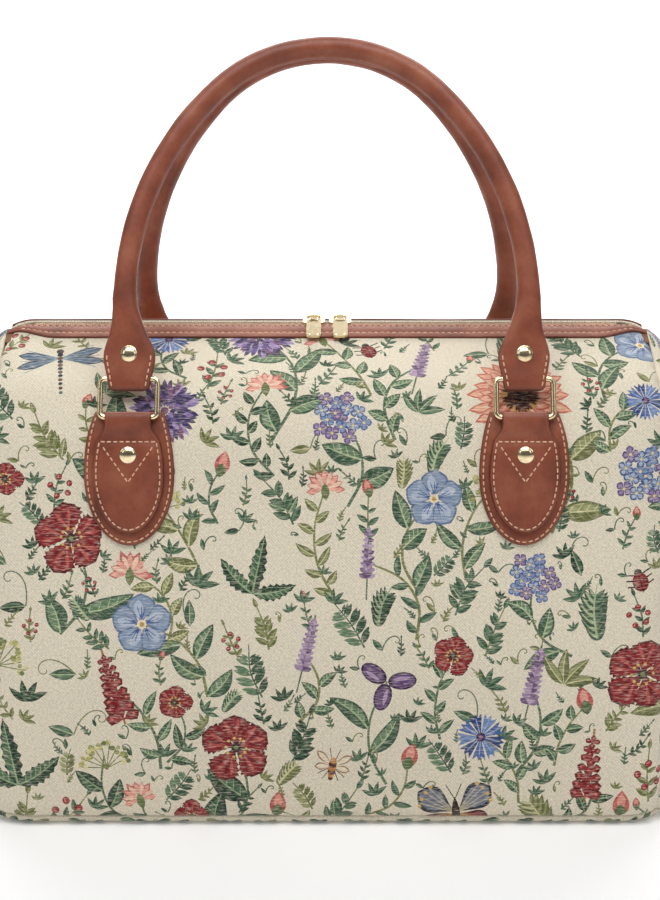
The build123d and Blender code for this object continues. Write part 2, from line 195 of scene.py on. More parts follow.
def section(facing, s):
    """Point (out, up) and outward direction of one side's cloth, s above its base seam."""
    foot, centre, top = SHOULDERS[facing]
    if s < BASE_ARC:
        turn = s / BASE_RADIUS - SEAM_TURN
        direction = (math.cos(turn), math.sin(turn))
        return (BASE_CENTRE + BASE_RADIUS * direction[0], BASE_RADIUS + BASE_RADIUS * direction[1]), direction
    s -= BASE_ARC
    length = flank_length(facing)
    direction = (math.cos(FLANK_LEAN), math.sin(FLANK_LEAN))
    if s < length:
        back = length - s
        return (foot[0] + back * direction[1], foot[1] - back * direction[0]), direction
    s -= length
    if s < SHOULDER_ARC:
        turn = FLANK_LEAN + s / SHOULDER_RADIUS
        direction = (math.cos(turn), math.sin(turn))
        return (centre[0] + SHOULDER_RADIUS * direction[0], centre[1] + SHOULDER_RADIUS * direction[1]), direction
    s -= SHOULDER_ARC
    direction = (math.sin(ROOF_SLOPE), math.cos(ROOF_SLOPE))
    return (top[0] - s * direction[1], top[1] + s * direction[0]), direction


def cloth_height(facing, height):
    """Length of cloth from the base seam up to a height, on the flank or the shoulder."""
    low, high = 0.0, panel_length(facing)
    for halving in range(30):
        middle = (low + high) / 2
        low, high = (middle, high) if section(facing, middle)[0][1] < height else (low, middle)
    return low


def smooth(value, low, high):
    """0 below low, 1 above high, and a smooth rise between them."""
    t = min(1.0, max(0.0, (value - low) / (high - low)))
    return t * t * (3 - 2 * t)


def reach(height):
    """Half length of the bag at a height."""
    if height > RIDGE_HEIGHT - END_SHOULDER_RADIUS:
        rise = min(END_SHOULDER_RADIUS, height - (RIDGE_HEIGHT - END_SHOULDER_RADIUS))
        return HALF_LENGTH - END_SHOULDER_RADIUS + math.sqrt(END_SHOULDER_RADIUS**2 - rise**2)
    if height < END_BASE_RADIUS:
        fall = END_BASE_RADIUS - height
        return HALF_LENGTH - END_BASE_RADIUS + math.sqrt(END_BASE_RADIUS**2 - fall**2)
    return HALF_LENGTH


def folds(x, s, facing):
    """Soft fullness and creases of the cloth, in millimetres outwards."""
    belly = sizes().belly / MM
    crease = sizes().crease / MM
    side = 1 - (abs(x) / HALF_LENGTH) ** 4
    full = belly * math.sin(math.pi * min(1.0, s / 215.0)) ** 2 * side
    calm = smooth(s, 2, 30) * (1 - smooth(s, 225, 262))
    spot = Vector((x / 70 + 11 * facing, s / 95, 3.0 * facing))
    wave = noise.noise(spot) + 0.5 * noise.noise(spot * 2.3)
    pucker = math.exp(-s / 9) * math.sin(x / 3.4 + 2.5 * noise.noise(Vector((x / 30, facing, 0)))) * 0.5
    tuck = -1.5 * math.exp(-((s / 2.2) ** 2)) - 1.5 * math.exp(-(((SEAM_X - abs(x)) / 2.5) ** 2))
    return full + crease * calm * (0.9 + wave) + pucker * (s > 0.5) + tuck


def skin(facing, x, s, lift=0.0, flat=False):
    """Point of the cloth and its outward direction; lift is above it, and flat leaves out its folds."""
    (out, up), (level, rise) = section(facing, s)
    corner = min(UPRIGHT_RADIUS, out * 0.9)
    over = min(corner * 0.97, max(0.0, abs(x) - reach(up) + corner))
    lean = over / corner
    inward = corner * (1 - math.sqrt(1 - lean * lean))
    # the zip's slot stays open for the sliders as far as the zip goes
    slot_share = 1 - smooth(abs(x), SEAM_X - 10, SEAM_X)
    inward -= slot_share * max(0.0, inward - (out - RIDGE_HALF))
    drop = 0.0
    past = abs(x) - (HALF_LENGTH - END_SHOULDER_RADIUS)
    if past > 0:
        drop = END_SHOULDER_RADIUS - math.sqrt(END_SHOULDER_RADIUS**2 - min(past, 30) ** 2)
        drop *= smooth(s, panel_length(facing) - 45, panel_length(facing))
    turned = level * math.sqrt(1 - lean * lean)
    normal = Vector((math.copysign(level * lean, x), facing * turned, rise)).normalized()
    point = Vector((x, facing * (out - inward), up - drop))
    if not flat:
        lift += folds(x, s, facing)
    return point + normal * lift, normal


# --- meshes ---
def link(name, verts, faces, material, sharp=False):
    """A mesh object from points in millimetres."""
    mesh = bpy.data.meshes.new(name)
    mesh.from_pydata([Vector(v) * MM for v in verts], [], faces)
    mesh.validate()
    mesh.polygons.foreach_set("use_smooth", [not sharp] * len(mesh.polygons))
    mesh.materials.append(material)
    mesh.update()
    thing = bpy.data.objects.new(name, mesh)
    bpy.context.collection.objects.link(thing)
    return thing


def grid_faces(rows, columns, closed=False):
    """Quads of a grid of rows x columns points; closed joins its last column to its first."""
    faces = []
    for low in range(0, (rows - 1) * columns, columns):
        for j in range(columns if closed else columns - 1):
            n = (j + 1) % columns
            faces.append((low + j, low + n, low + columns + n, low + columns + j))
    return faces


def tube_faces(rows, columns):
    """Quads of a tube of rings, and a face on each of its ends."""
    last = (rows - 1) * columns
    ends = [tuple(reversed(range(columns))), tuple(range(last, last + columns))]
    return grid_faces(rows, columns, closed=True) + ends


def ring(centre, side, up, count, start=0.0):
    """Points round an ellipse that has these two half axes."""
    turns = [math.tau * (k + start) / count for k in range(count)]
    return [centre + side * math.cos(turn) + up * math.sin(turn) for turn in turns]


def corner_values(thing, name, values):
    """A number on each point of a mesh, for its material."""
    layer = thing.data.attributes.new(name, "FLOAT", "POINT")
    layer.data.foreach_set("value", values)


class Heap:
    """Many small closed shapes gathered into one mesh."""

    def __init__(self):
        self.verts, self.faces = [], []

    def add(self, verts, faces):
        start = len(self.verts)
        self.verts += verts
        self.faces += [tuple(start + i for i in face) for face in faces]

    def rings(self, rings):
        """A closed tube through rings of points, with both ends capped."""
        self.add([point for points in rings for point in points], tube_faces(len(rings), len(rings[0])))

    def link(self, name, material, body, *nodes):
        thing = link(name, self.verts, self.faces, material)
        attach(thing, body)
        if nodes:
            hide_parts(*nodes)
        return thing


# Along a stitch: place as a share of its half length, rise and thickness as shares of the thread's radius.
STITCH_PROFILE = (
    (-1, -0.5, 0.6), (-0.78, 0.35, 1), (-0.3, 0.75, 1.1), (0.3, 0.75, 1.1), (0.78, 0.35, 1), (1, -0.5, 0.6),
)


def stitch(heap, point, along, normal):
    """One stitch: a short thread that rises from its holes."""
    half = sizes().stitch_length / MM / 2
    radius = sizes().sewing_thread / MM / 2
    across = along.cross(normal).normalized()
    rings = []
    for place, rise, share in STITCH_PROFILE:
        middle = point + along * half * place + normal * radius * rise
        rings.append(ring(middle, across * radius * share, normal * radius * share * 0.8, 6))
    heap.rings(rings)


def stitch_row(heap, points, normals):
    """Stitches at an even pitch along a line of points."""
    lengths = [0.0]
    for a, b in zip(points, points[1:]):
        lengths.append(lengths[-1] + (b - a).length)
    count = max(1, round(lengths[-1] / (sizes().stitch_pitch / MM)))
    spot = 0
    for k in range(count):
        at = (k + 0.5) * lengths[-1] / count
        while lengths[spot + 1] < at:
            spot += 1
        share = (at - lengths[spot]) / (lengths[spot + 1] - lengths[spot])
        point = points[spot].lerp(points[spot + 1], share)
        along = (points[spot + 1] - points[spot]).normalized()
        stitch(heap, point, along, normals[spot])


# Distance in from a leather cut's edge, and height there as a share of its thickness: a rounded
# edge, a groove where the stitches sit, then the flat of the leather.
EDGE_STEPS = (
    (0, 0.35), (0.25, 0.72), (0.6, 0.93), (1.1, 1.0), (1.7, 1.0),
    (2.0, 0.93), (2.3, 0.88), (2.6, 0.93), (2.9, 1.0), (4.0, 1.02),
)


def tidy(thing, merge=0.0):
    """Merges points that meet and turns every face outwards."""
    work = bmesh.new()
    work.from_mesh(thing.data)
    if merge:
        bmesh.ops.remove_doubles(work, verts=work.verts, dist=merge * MM)
    bmesh.ops.recalc_face_normals(work, faces=work.faces)
    work.to_mesh(thing.data)
    work.free()
    return thing


# --- materials ---
def add(tree, kind, inputs=None, **settings):
    """One node: its settings, and its inputs, each a number or colour or another node's output."""
    made = tree.nodes.new(kind)
    for name, value in settings.items():
        setattr(made, name, value)
    for key, value in (inputs or {}).items():
        if isinstance(value, bpy.types.NodeSocket):
            tree.links.new(value, made.inputs[key])
        else:
            made.inputs[key].default_value = value
    return made


def material(name, build):
    """The material of that name, made the first time it is asked for."""
    made = bpy.data.materials.get(name)
    if made is None:
        made = bpy.data.materials.new(name)
        made.use_nodes = True
        made.node_tree.nodes.clear()
        shader = build(made.node_tree)
        add(made.node_tree, "ShaderNodeOutputMaterial", {"Surface": shader.outputs["BSDF"]})
    return made


def blend_colour(tree, kind, share, first, second):
    """Two colours mixed; kind is a blend mode."""
    mix = add(tree, "ShaderNodeMix", data_type="RGBA", blend_type=kind, clamp_factor=True)
    for key, value in ((0, share), (6, first), (7, second)):
        if isinstance(value, bpy.types.NodeSocket):
            tree.links.new(value, mix.inputs[key])
        else:
            mix.inputs[key].default_value = value
    return mix.outputs[2]


def spread(tree, value, low, high, from_low=0.0, from_high=1.0):
    """A number from one range brought to another."""
    inputs = {"Value": value, "From Min": from_low, "From Max": from_high, "To Min": low, "To Max": high}
    return add(tree, "ShaderNodeMapRange", inputs, clamp=True).outputs["Result"]


def per(millimetres):
    """Texture scale that makes a noise cell this large."""
    return 1 / (millimetres * MM)


def own_place(tree):
    """A point's place on its own piece."""
    return add(tree, "ShaderNodeTexCoord").outputs["Object"]


def mottle(tree, where, cell, detail=2.0, **more):
    """Noise whose cells are this many millimetres wide."""
    inputs = {"Vector": where, "Scale": per(cell), "Detail": detail, **more}
    return add(tree, "ShaderNodeTexNoise", inputs).outputs["Fac"]


def ribs(tree, where, direction, scale, **more):
    inputs = {"Vector": where, "Scale": scale, **more}
    return add(tree, "ShaderNodeTexWave", inputs, bands_direction=direction).outputs["Fac"]


def relief_of(tree, height, strength, depth):
    """Bump at most this many millimetres deep."""
    inputs = {"Height": height, "Strength": strength, "Distance": depth * MM}
    return {"Normal": add(tree, "ShaderNodeBump", inputs).outputs["Normal"]}


def principled(tree, tone, rough, more=None):
    inputs = {"Base Color": tone, "Roughness": rough, **(more or {})}
    return add(tree, "ShaderNodeBsdfPrincipled", inputs)


def dye(name):
    """A colour of the panel's by its property name."""
    return tuple(getattr(colours(), name))


def woven_jacquard(tree):
    # Jacquard woven cotton: dull, its coloured wefts lying as small ridges over a pebbled cream ground.
    pitch = sizes().thread_pitch
    where = add(tree, "ShaderNodeUVMap", uv_map="cloth").outputs["UV"]
    colour = add(tree, "ShaderNodeAttribute", attribute_name="print").outputs["Color"]
    relief = add(tree, "ShaderNodeAttribute", attribute_name="relief").outputs["Fac"]
    # a wave's bands repeat every 0.628 / scale along x + y, and every 0.314 / scale along one axis
    wavy = {"Distortion": 1.5, "Detail": 2.0, "Detail Scale": 2.5}
    twill = ribs(tree, where, "DIAGONAL", 0.628 / (2.1 * pitch), **wavy)
    wavy = {"Distortion": 1.0, "Detail": 1.0, "Detail Scale": 3.0}
    weft = ribs(tree, where, "Y", 0.314 / pitch, **wavy)
    pebble = add(tree, "ShaderNodeTexVoronoi", {"Vector": where, "Scale": per(1.25)}, voronoi_dimensions="2D")
    pebble = spread(tree, pebble.outputs["Distance"], 1.0, 0.0, 0.0, 0.75)
    long_way = add(tree, "ShaderNodeMapping", {"Vector": where, "Scale": (per(5.0), per(0.9), 1.0)})
    floats = add(tree, "ShaderNodeTexNoise", {"Vector": long_way.outputs["Vector"], "Scale": 1.0, "Detail": 2.0})
    floats = floats.outputs["Fac"]
    ground = blend_colour(tree, "MIX", 0.5, twill, pebble)
    surface = blend_colour(tree, "MIX", relief, ground, weft)
    shade = spread(tree, surface, 0.8, 1.06, 0.1, 0.9)
    streak = spread(tree, floats, 0.78, 1.2, 0.25, 0.75)
    plain = mottle(tree, where, 1.6)
    streak = blend_colour(tree, "MIX", relief, spread(tree, plain, 0.9, 1.08, 0.3, 0.7), streak)
    # the undyed warp shows between the coloured threads
    bare = spread(tree, floats, 0.0, 0.42, 0.48, 0.72)
    bare = add(tree, "ShaderNodeMath", {0: relief, 1: bare}, operation="MULTIPLY").outputs[0]
    colour = blend_colour(tree, "MIX", bare, colour, dye("ground"))
    dyed = blend_colour(tree, "MULTIPLY", 1.0, colour, shade)
    dyed = blend_colour(tree, "MULTIPLY", 1.0, dyed, streak)
    nap = {"Specular IOR Level": 0.2, "Sheen Weight": 0.15, "Sheen Roughness": 0.5}
    return principled(tree, dyed, 0.9, nap | relief_of(tree, surface, 0.55, 0.35))


def leather_tree(tree, plain, dark, light):
    where = own_place(tree)
    edge = add(tree, "ShaderNodeAttribute", attribute_name="edge").outputs["Fac"]
    cloud = mottle(tree, where, 26, 4.0, Roughness=0.6)
    speck = mottle(tree, where, 2.2, 3.0, Roughness=0.7)
    pores = add(tree, "ShaderNodeTexVoronoi", {"Vector": where, "Scale": per(0.9), "Randomness": 1.0})
    tone = blend_colour(tree, "MIX", spread(tree, cloud, 0.0, 0.55, 0.5, 0.72), plain, light)
    # random cloud and specks, then the edge attribute: real dark cut edges, and painted shade where the handles'
    # ends fold round the rings
    for wear_and_fold_shade in (
        spread(tree, cloud, 0.5, 0.0, 0.3, 0.5),
        spread(tree, speck, 0.0, 0.35, 0.55, 0.8),
        spread(tree, edge, 0.0, 0.75),
    ):
        tone = blend_colour(tree, "MIX", wear_and_fold_shade, tone, dark)
    grain = add(tree, "ShaderNodeMath", {0: pores.outputs["Distance"], 1: speck}, operation="ADD").outputs[0]
    wax = {"Specular IOR Level": 0.4, "Coat Weight": 0.08, "Coat Roughness": 0.35}
    rough = spread(tree, speck, 0.4, 0.56, 0.3, 0.7)
    return principled(tree, tone, rough, wax | relief_of(tree, grain, 0.3, 0.16))


def tanned_leather(tree):
    # Vegetable-tanned calf, waxed by hand: red-brown, cloudy, satin, darker where it was cut and burnished, and
    # darkened as painted shade where the handles' ends fold round the rings.
    return leather_tree(tree, dye("leather"), dye("leather_dark"), dye("leather_light"))


def split_leather(tree):
    # The same hide, shaved thin for the zip's edges: paler and drier.
    return leather_tree(tree, linear("#8c523e"), linear("#5c2e20"), linear("#a9745c"))


def waxed_thread(tree):
    # Waxed polyester thread: pale, twisted, slightly shiny.
    ply = ribs(tree, own_place(tree), "DIAGONAL", 0.628 / (0.7 * MM))
    tone = blend_colour(tree, "MIX", spread(tree, ply, 0.35, 0.0), dye("thread"), linear("#b98563"))
    return principled(tree, tone, 0.5)


def plated_brass(tree):
    # Polished brass under a thin pale gold plate: bright, with hairline scratches and a faint haze.
    where = own_place(tree)
    haze = mottle(tree, where, 5, 3.0)
    lines = add(tree, "ShaderNodeMapping", {"Vector": where, "Scale": (per(6), per(0.5), per(0.7))})
    inputs = {"Vector": lines.outputs["Vector"], "Scale": 1.0, "Detail": 4.0}
    scratch = add(tree, "ShaderNodeTexNoise", inputs).outputs["Fac"]
    tone = blend_colour(tree, "MIX", spread(tree, haze, 0.0, 0.5, 0.4, 0.75), dye("gold"), linear("#c2a368"))
    metal = {"Metallic": 1.0} | relief_of(tree, scratch, 0.05, 0.008)
    return principled(tree, tone, spread(tree, haze, 0.17, 0.28), metal)


def woven_plain(tree, plain, dark, pitch):
    where = own_place(tree)
    along, across = (ribs(tree, where, way, 0.314 / (pitch * MM)) for way in "XZ")
    cloth = add(tree, "ShaderNodeMath", {0: along, 1: across}, operation="MULTIPLY").outputs[0]
    tone = blend_colour(tree, "MIX", spread(tree, cloth, 1.0, 0.0, 0.0, 0.7), plain, dark)
    return principled(tree, tone, 0.85, relief_of(tree, cloth, 0.5, 0.2))


def woven_lining(tree):
    # Plain woven polyester lining: dull brown, fine square weave.
    return woven_plain(tree, dye("lining"), linear("#3f2a20"), 0.8)


def woven_tape(tree):
    # Woven polyester zip tape: sand brown, tight ribs.
    return woven_plain(tree, linear("#a97f62"), linear("#6d4a38"), 0.7)


def moulded_coil(tree):
    # Moulded nylon zip coil: sand coloured, slightly glossy.
    speck = spread(tree, mottle(tree, own_place(tree), 1.5), 0.0, 0.7, 0.3, 0.7)
    return principled(tree, blend_colour(tree, "MIX", speck, linear("#cba27c"), linear("#8f6648")), 0.35)


def pressed_board(tree):
    # Pressed fibre board: grey-brown, flecked.
    fleck = mottle(tree, own_place(tree), 1.2, 5.0)
    return principled(tree, blend_colour(tree, "MIX", fleck, linear("#7a6a58"), linear("#a8957c")), 0.9)


def twisted_rope(tree):
    # Twisted cotton rope: off-white strands.
    strand = ribs(tree, own_place(tree), "DIAGONAL", 0.628 / (4 * MM))
    return principled(tree, blend_colour(tree, "MIX", strand, linear("#9c8f78"), linear("#d8ccb4")), 0.9)


JACQUARD = "Jacquard woven cotton"
LEATHER = "Vegetable-tanned calf, waxed"
SPLIT = "Calf, shaved thin"
THREAD = "Waxed polyester thread"
GOLD = "Brass, gold plated and polished"
BUILDERS = {
    JACQUARD: woven_jacquard,
    LEATHER: tanned_leather,
    SPLIT: split_leather,
    THREAD: waxed_thread,
    GOLD: plated_brass,
    "Woven polyester lining": woven_lining,
    "Woven polyester zip tape": woven_tape,
    "Moulded nylon coil": moulded_coil,
    "Pressed fibre board": pressed_board,
    "Twisted cotton rope": twisted_rope,
}


def finish_of(name):
    return material(name, BUILDERS[name])


# --- leather sewn to the skin ---
SIDE_STATIONS = 22
TIP_STATIONS = 40


def tongue_line(half_at, middle, drop, top, distance, share):
    """A line down one side of a tongue of leather, round its tip and up the other, moved in by a distance."""
    half = half_at(middle)
    line = []
    for k in range(SIDE_STATIONS):
        s = top + (middle - top) * k / SIDE_STATIONS
        line.append((-(half_at(s) - distance) * share, s))
    for k in range(TIP_STATIONS + 1):
        turn = math.pi + math.pi * k / TIP_STATIONS
        away = Vector((math.cos(turn) / half, math.sin(turn) / drop)).normalized() * distance
        x, s = half * math.cos(turn) - away.x, drop * math.sin(turn) - away.y
        line.append((x * share, middle + s * share))
    for k in range(SIDE_STATIONS):
        s = middle + (top - middle) * (k + 1) / SIDE_STATIONS
        line.append(((half_at(s) - distance) * share, s))
    return line


def leather_tongue(name, half_at, middle, drop, top, surface, nodes):
    """A sewn-on tongue of leather: surface(x, s, share) gives a point, share 0 under it and 1 on its face."""
    rows = [(0.0, 0.0, 0.0, 0.0), (0.0, 0.5, 0.0, 0.0), (0.0, 1.0, 0.0, 1.0)]
    for distance, share in EDGE_STEPS:
        rows.append((distance, 1.0, share, 1.0 - min(1.0, distance / 1.1)))
    for k in (0.85, 0.7, 0.5, 0.3, 0.15, 0.0):
        rows.append((EDGE_STEPS[-1][0], k, 1.04, 0.0))
    verts, edge = [], []
    for distance, scale, share, rim in rows:
        for x, s in tongue_line(half_at, middle, drop, top, distance, scale):
            verts.append(surface(x, s, share))
            edge.append(rim)
    columns = len(verts) // len(rows)
    faces = grid_faces(len(rows), columns)
    firsts = range(0, len(verts), columns)
    faces.append([*firsts] + [first + columns - 1 for first in reversed(firsts)])
    thing = link(name, verts, faces, finish_of(LEATHER))
    corner_values(thing, "edge", edge)
    tidy(thing, 0.01)
    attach(thing, "bag")
    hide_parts(*nodes)
    return thing


def egg(half, rise, middle, neck=0.0):
    """Half width of a cut at s: half an ellipse above its widest place, never under the neck's."""

    def half_at(s):
        return max(neck, half * math.sqrt(max(0.0, 1 - ((s - middle) / rise) ** 2)) if s > middle else half)

    return half_at


SHIELD_HALF, SHIELD_DROP, SHIELD_RISE = 28.0, 44.0, 60.0
TAB_HALF, TAB_DROP, TAB_RISE = 22.0, 36.0, 46.0
LEATHER_MIDDLE = 224.0
SHIELD_TOP = 262.0
FOLD_LENGTH = 14.0
LOOP_HALF = 14.3
BAR_CLEAR = 4.5
STITCH_INSET = 2.3


def lower_bar(facing):
    """Centre of a ring's lower bar, in the plane across the bag."""
    point, normal = skin(facing, 0, cloth_height(facing, BAR_HEIGHT), flat=True)
    return point + normal * (SHIELD_THICK + LOOP_RADIUS)


def upper_bar(facing):
    return lower_bar(facing) + Vector((0, -facing * math.sin(RING_TILT), math.cos(RING_TILT))) * BAR_SPACING


def sewn_line(heap, line, surface, first=0.0, last=1.0):
    """Stitches along a part of a line of (x, s) places on a piece of leather."""
    count = len(line)
    part = line[int(count * first) : int(math.ceil(count * last))]
    points = [surface(x, s, 1.0) for x, s in part]
    normals = [(surface(x, s, 1.5) - surface(x, s, 1.0)).normalized() for x, s in part]
    stitch_row(heap, points, normals)


class BAG_OT_shields(bpy.types.Operator):
    """Leather shields sewn to the panels under the rings"""

    bl_idname = "holdall.shields"
    bl_label = "Shields"

    def execute(self, context):
        for face, facing in FACES:
            middle = cloth_height(facing, LEATHER_MIDDLE)
            top = cloth_height(facing, SHIELD_TOP)
            half_at = egg(SHIELD_HALF, SHIELD_RISE, middle)
            threads = Heap()
            for end, side in ENDS:

                def surface(x, s, share):
                    low = 0.3 + 0.7 * smooth(top - s, 0, 1.5)
                    lift = share * low * SHIELD_THICK - 0.3 * (share == 0)
                    return skin(facing, side * RING_X + x, s, lift)[0]

                shield = f"{face}_{end}_shield"
                leather_tongue(f"{shield}_leather", half_at, middle, SHIELD_DROP, top, surface, [shield])
                line = tongue_line(half_at, middle, SHIELD_DROP, top, STITCH_INSET, 1.0)
                sewn_line(threads, line, surface, 0.03, 0.97)
            threads.link(f"{face}_shield_thread", finish_of(THREAD), "bag")
        return {"FINISHED"}


class BAG_OT_tabs(bpy.types.Operator):
    """Leather tabs folded over each ring's lower bar"""

    bl_idname = "holdall.tabs"
    bl_label = "Loop tabs"

    def execute(self, context):
        for face, facing in FACES:
            middle = cloth_height(facing, LEATHER_MIDDLE)
            bar_s = cloth_height(facing, BAR_HEIGHT)
            fold = bar_s - FOLD_LENGTH
            wrap = math.radians(200) * LOOP_RADIUS
            bar = lower_bar(facing)
            first_turn = math.atan2(*reversed(section(facing, bar_s)[1]))
            oval = egg(TAB_HALF, TAB_RISE, middle, LOOP_HALF)

            def half_at(s):
                # nothing wider than the loop reaches the bar, so that the ring swings clear
                return oval(s) + (LOOP_HALF - oval(s)) * smooth(s, fold, bar_s - BAR_CLEAR)

            threads = Heap()
            for end, side in ENDS:
                centre = side * RING_X

                def surface(x, s, share):
                    if s <= bar_s:
                        up = smooth(s, fold, bar_s)
                        low = SHIELD_THICK + (LOOP_BORE + LOOP_RADIUS) * up
                        high = SHIELD_THICK + TAB_THICK + (2 * LOOP_RADIUS - TAB_THICK) * up
                        sag = 0.35 * math.exp(-(((s - fold) / 2.0) ** 2))
                        lift = low + (high - low) * share - sag * share
                        return skin(facing, centre + x, s, lift, flat=s > fold)[0]
                    turn = first_turn + (s - bar_s) / LOOP_RADIUS
                    reach_out = LOOP_BORE + TAB_LAYER * share
                    away = Vector((0, facing * math.cos(turn), math.sin(turn)))
                    return Vector((centre + x, bar.y, bar.z)) + away * reach_out

                tab = f"{face}_{end}_tab"
                leather_tongue(f"{tab}_leather", half_at, middle, TAB_DROP, bar_s + wrap, surface, [tab])
                line = tongue_line(half_at, middle, TAB_DROP, fold, STITCH_INSET, 1.0)
                sewn_line(threads, line, surface)
                across = half_at(fold) - STITCH_INSET
                bar_row = [(across * (k / 10 - 1), fold) for k in range(21)]
                sewn_line(threads, bar_row, surface)
                for lean in (-1, 1):
                    vee = [(lean * 15.5 * (1 - k / 12), fold - 2.5 - 22.0 * k / 12) for k in range(13)]
                    sewn_line(threads, vee, surface)
            threads.link(f"{face}_tab_thread", finish_of(THREAD), "bag")
        return {"FINISHED"}


# Radius and height of a domed rivet cap's profile.
CAP = (
    (5.2, -0.5), (5.25, 0.15), (4.95, 0.5), (4.55, 0.55), (4.3, 0.8),
    (3.5, 1.35), (2.4, 1.75), (1.2, 1.95), (0.35, 2.0),
)


def dome(heap, centre, normal):
    """A domed rivet cap."""
    side = Vector((1, 0, 0))
    up = normal.cross(side).normalized()
    heap.rings([ring(centre + normal * height, side * radius, up * radius, 40) for radius, height in CAP])


class BAG_OT_rivets(bpy.types.Operator):
    """Domed rivets through the handle ends and the loop tabs"""

    bl_idname = "holdall.rivets"
    bl_label = "Rivets"

    def execute(self, context):
        for face, facing in FACES:
            caps = Heap()
            s = cloth_height(facing, TAB_RIVET_HEIGHT)
            for end, side in ENDS:
                point, normal = skin(facing, side * RING_X, s, SHIELD_THICK + TAB_THICK)
                dome(caps, point, normal)
            thing = caps.link(f"{face}_tab_rivet_caps", finish_of(GOLD), "bag", f"{face}_tab_rivets")
            tidy(thing)
            caps = Heap()
            base, up, out = handle_frame(facing)
            for end, side in ENDS:
                for way in (-1, 1):
                    point = base + Vector((side * RING_X, 0, 0)) + up * HANDLE_RIVET + out * way * 3.35
                    dome(caps, point, out * way)
            rivets = f"{face}_handle_rivets"
            thing = caps.link(f"{face}_handle_rivet_caps", finish_of(GOLD), f"{face}_handle", rivets)
            tidy(thing)
        return {"FINISHED"}


# --- handles ---
def handle_frame(facing):
    """A handle's foot on the rings, its upward direction and its outward one."""
    base = upper_bar(facing)
    lean = math.asin((abs(base.y) - HANDLE_RADIUS - HANDLE_GAP / 2) / HANDLE_RISE)
    return (
        base,
        Vector((0, -facing * math.sin(lean), math.cos(lean))),
        Vector((0, facing * math.cos(lean), math.sin(lean))),
    )


# Height above the ring bar, half width, half thickness and squareness of the handle's end, from its fold up
# to the round tube.
END_SHAPE = (
    (-7.6, 8.5, 0.9, 3.0),
    (-7.0, 11.2, 2.0, 3.2),
    (-5.5, 12.6, 2.8, 3.6),
    (-2.0, 13.3, 3.3, 4.4),
    (2.0, 13.9, 3.35, 5.0),
    (7.0, 15.0, 3.15, 5.0),
    (12.0, 15.9, 3.1, 5.0),
    (16.0, 15.9, 3.2, 4.6),
    (21.0, 14.6, 3.5, 3.8),
    (27.0, 12.2, 4.2, 3.0),
    (35.0, 9.8, 5.4, 2.4),
    (45.0, 8.1, 6.4, 2.1),
    (58.0, 7.2, 6.95, 2.0),
    (70.0, 7.0, 7.0, 2.0),
)


def end_shape(u):
    """Half width, half thickness and squareness at a height above the ring bar."""
    if u >= END_SHAPE[-1][0]:
        return END_SHAPE[-1][1:]
    for low, high in zip(END_SHAPE, END_SHAPE[1:]):
        if u <= high[0]:
            t = (u - low[0]) / (high[0] - low[0])
            return tuple(a + (b - a) * t for a, b in zip(low[1:], high[1:]))
    return END_SHAPE[-1][1:]


def handle_line():
    """(x, up, heading) along the handle's middle, from its left end to its right."""
    side_turn = math.acos((ARCH_SIDE - LEG_X) / (ARCH_SIDE - ARCH_TOP))
    spring = HANDLE_RISE - ARCH_SIDE * math.sin(side_turn) - ARCH_TOP * (1 - math.sin(side_turn))
    half = []
    up = END_SHAPE[0][0]
    while up < spring:
        shift = (LEG_X - RING_X) * smooth(up, 15, 55)
        half.append((-RING_X - shift, up, math.pi / 2))
        up += 0.6 if up < -5 else 1.5
    centre = (ARCH_SIDE - LEG_X, spring)
    for k in range(60):
        turn = math.pi - side_turn * k / 60
        x, up = centre[0] + ARCH_SIDE * math.cos(turn), centre[1] + ARCH_SIDE * math.sin(turn)
        half.append((x, up, turn - math.pi / 2))
    for k in range(31):
        turn = math.pi - side_turn - (math.pi / 2 - side_turn) * k / 30
        x, up = ARCH_TOP * math.cos(turn), HANDLE_RISE + ARCH_TOP * (math.sin(turn) - 1)
        half.append((x, up, turn - math.pi / 2))
    return half + [(-x, u, -heading) for x, u, heading in reversed(half[:-1])]


AROUND = 48


class BAG_OT_handles(bpy.types.Operator):
    """Rolled leather handles with flat riveted ends folded round the rings"""

    bl_idname = "holdall.handles"
    bl_label = "Handles"

    def execute(self, context):
        for face, facing in FACES:
            base, up, out = handle_frame(facing)
            verts, edge = [], []
            line = handle_line()
            for x, u, heading in line:
                half, thick, square = end_shape(u)
                across = Vector((math.sin(heading), 0, 0)) - up * math.cos(heading)
                flat = smooth(half, 9, 13)
                for k in range(AROUND):
                    turn = math.tau * k / AROUND
                    c, d = math.cos(turn), math.sin(turn)
                    a = math.copysign(abs(c) ** (2 / square), c) * half
                    b = math.copysign(abs(d) ** (2 / square), d) * thick
                    point = base + Vector((x, 0, 0)) + up * u
                    rub = noise.noise(Vector((x, u, 9 * facing)) / 14 + Vector((c, d, 0))) * 0.25
                    if k == 0 and not flat:
                        a -= 0.7
                    if k % (AROUND // 2) == 0:
                        a -= math.copysign(0.9, c) * flat
                    point += across * (a + rub * c) + out * (b + rub * d)
                    verts.append(point)
                    side_edge = smooth(abs(c), 0.93, 1.0)
                    # the flat ends' side edges and the rolled seam (k == 0) are cut edges, dark in their dye;
                    # below the ring bar the leather is darkened as painted shade where it folds round the bar
                    edge.append(max(flat * side_edge, 0.8 * (k == 0), smooth(-u, 5.0, 7.5)))
            thing = link(f"{face}_handle_leather", verts, tube_faces(len(line), AROUND), finish_of(LEATHER))
            corner_values(thing, "edge", edge)
            tidy(thing)
            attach(thing, f"{face}_handle")
            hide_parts(f"{face}_handle")
            threads = Heap()
            for end, side in ENDS:
                for edge_side in (-1, 1):
                    for way in (-1, 1):
                        points = []
                        for k in range(14):
                            u = 15.0 - 20.5 * k / 13
                            half, thick, square = end_shape(u)
                            reach_x = side * RING_X + edge_side * (half - STITCH_INSET)
                            points.append(base + Vector((reach_x, 0, 0)) + up * u + out * way * (thick * 0.985))
                        stitch_row(threads, points, [out * way] * len(points))
            threads.link(f"{face}_handle_thread", finish_of(THREAD), f"{face}_handle")
        return {"FINISHED"}


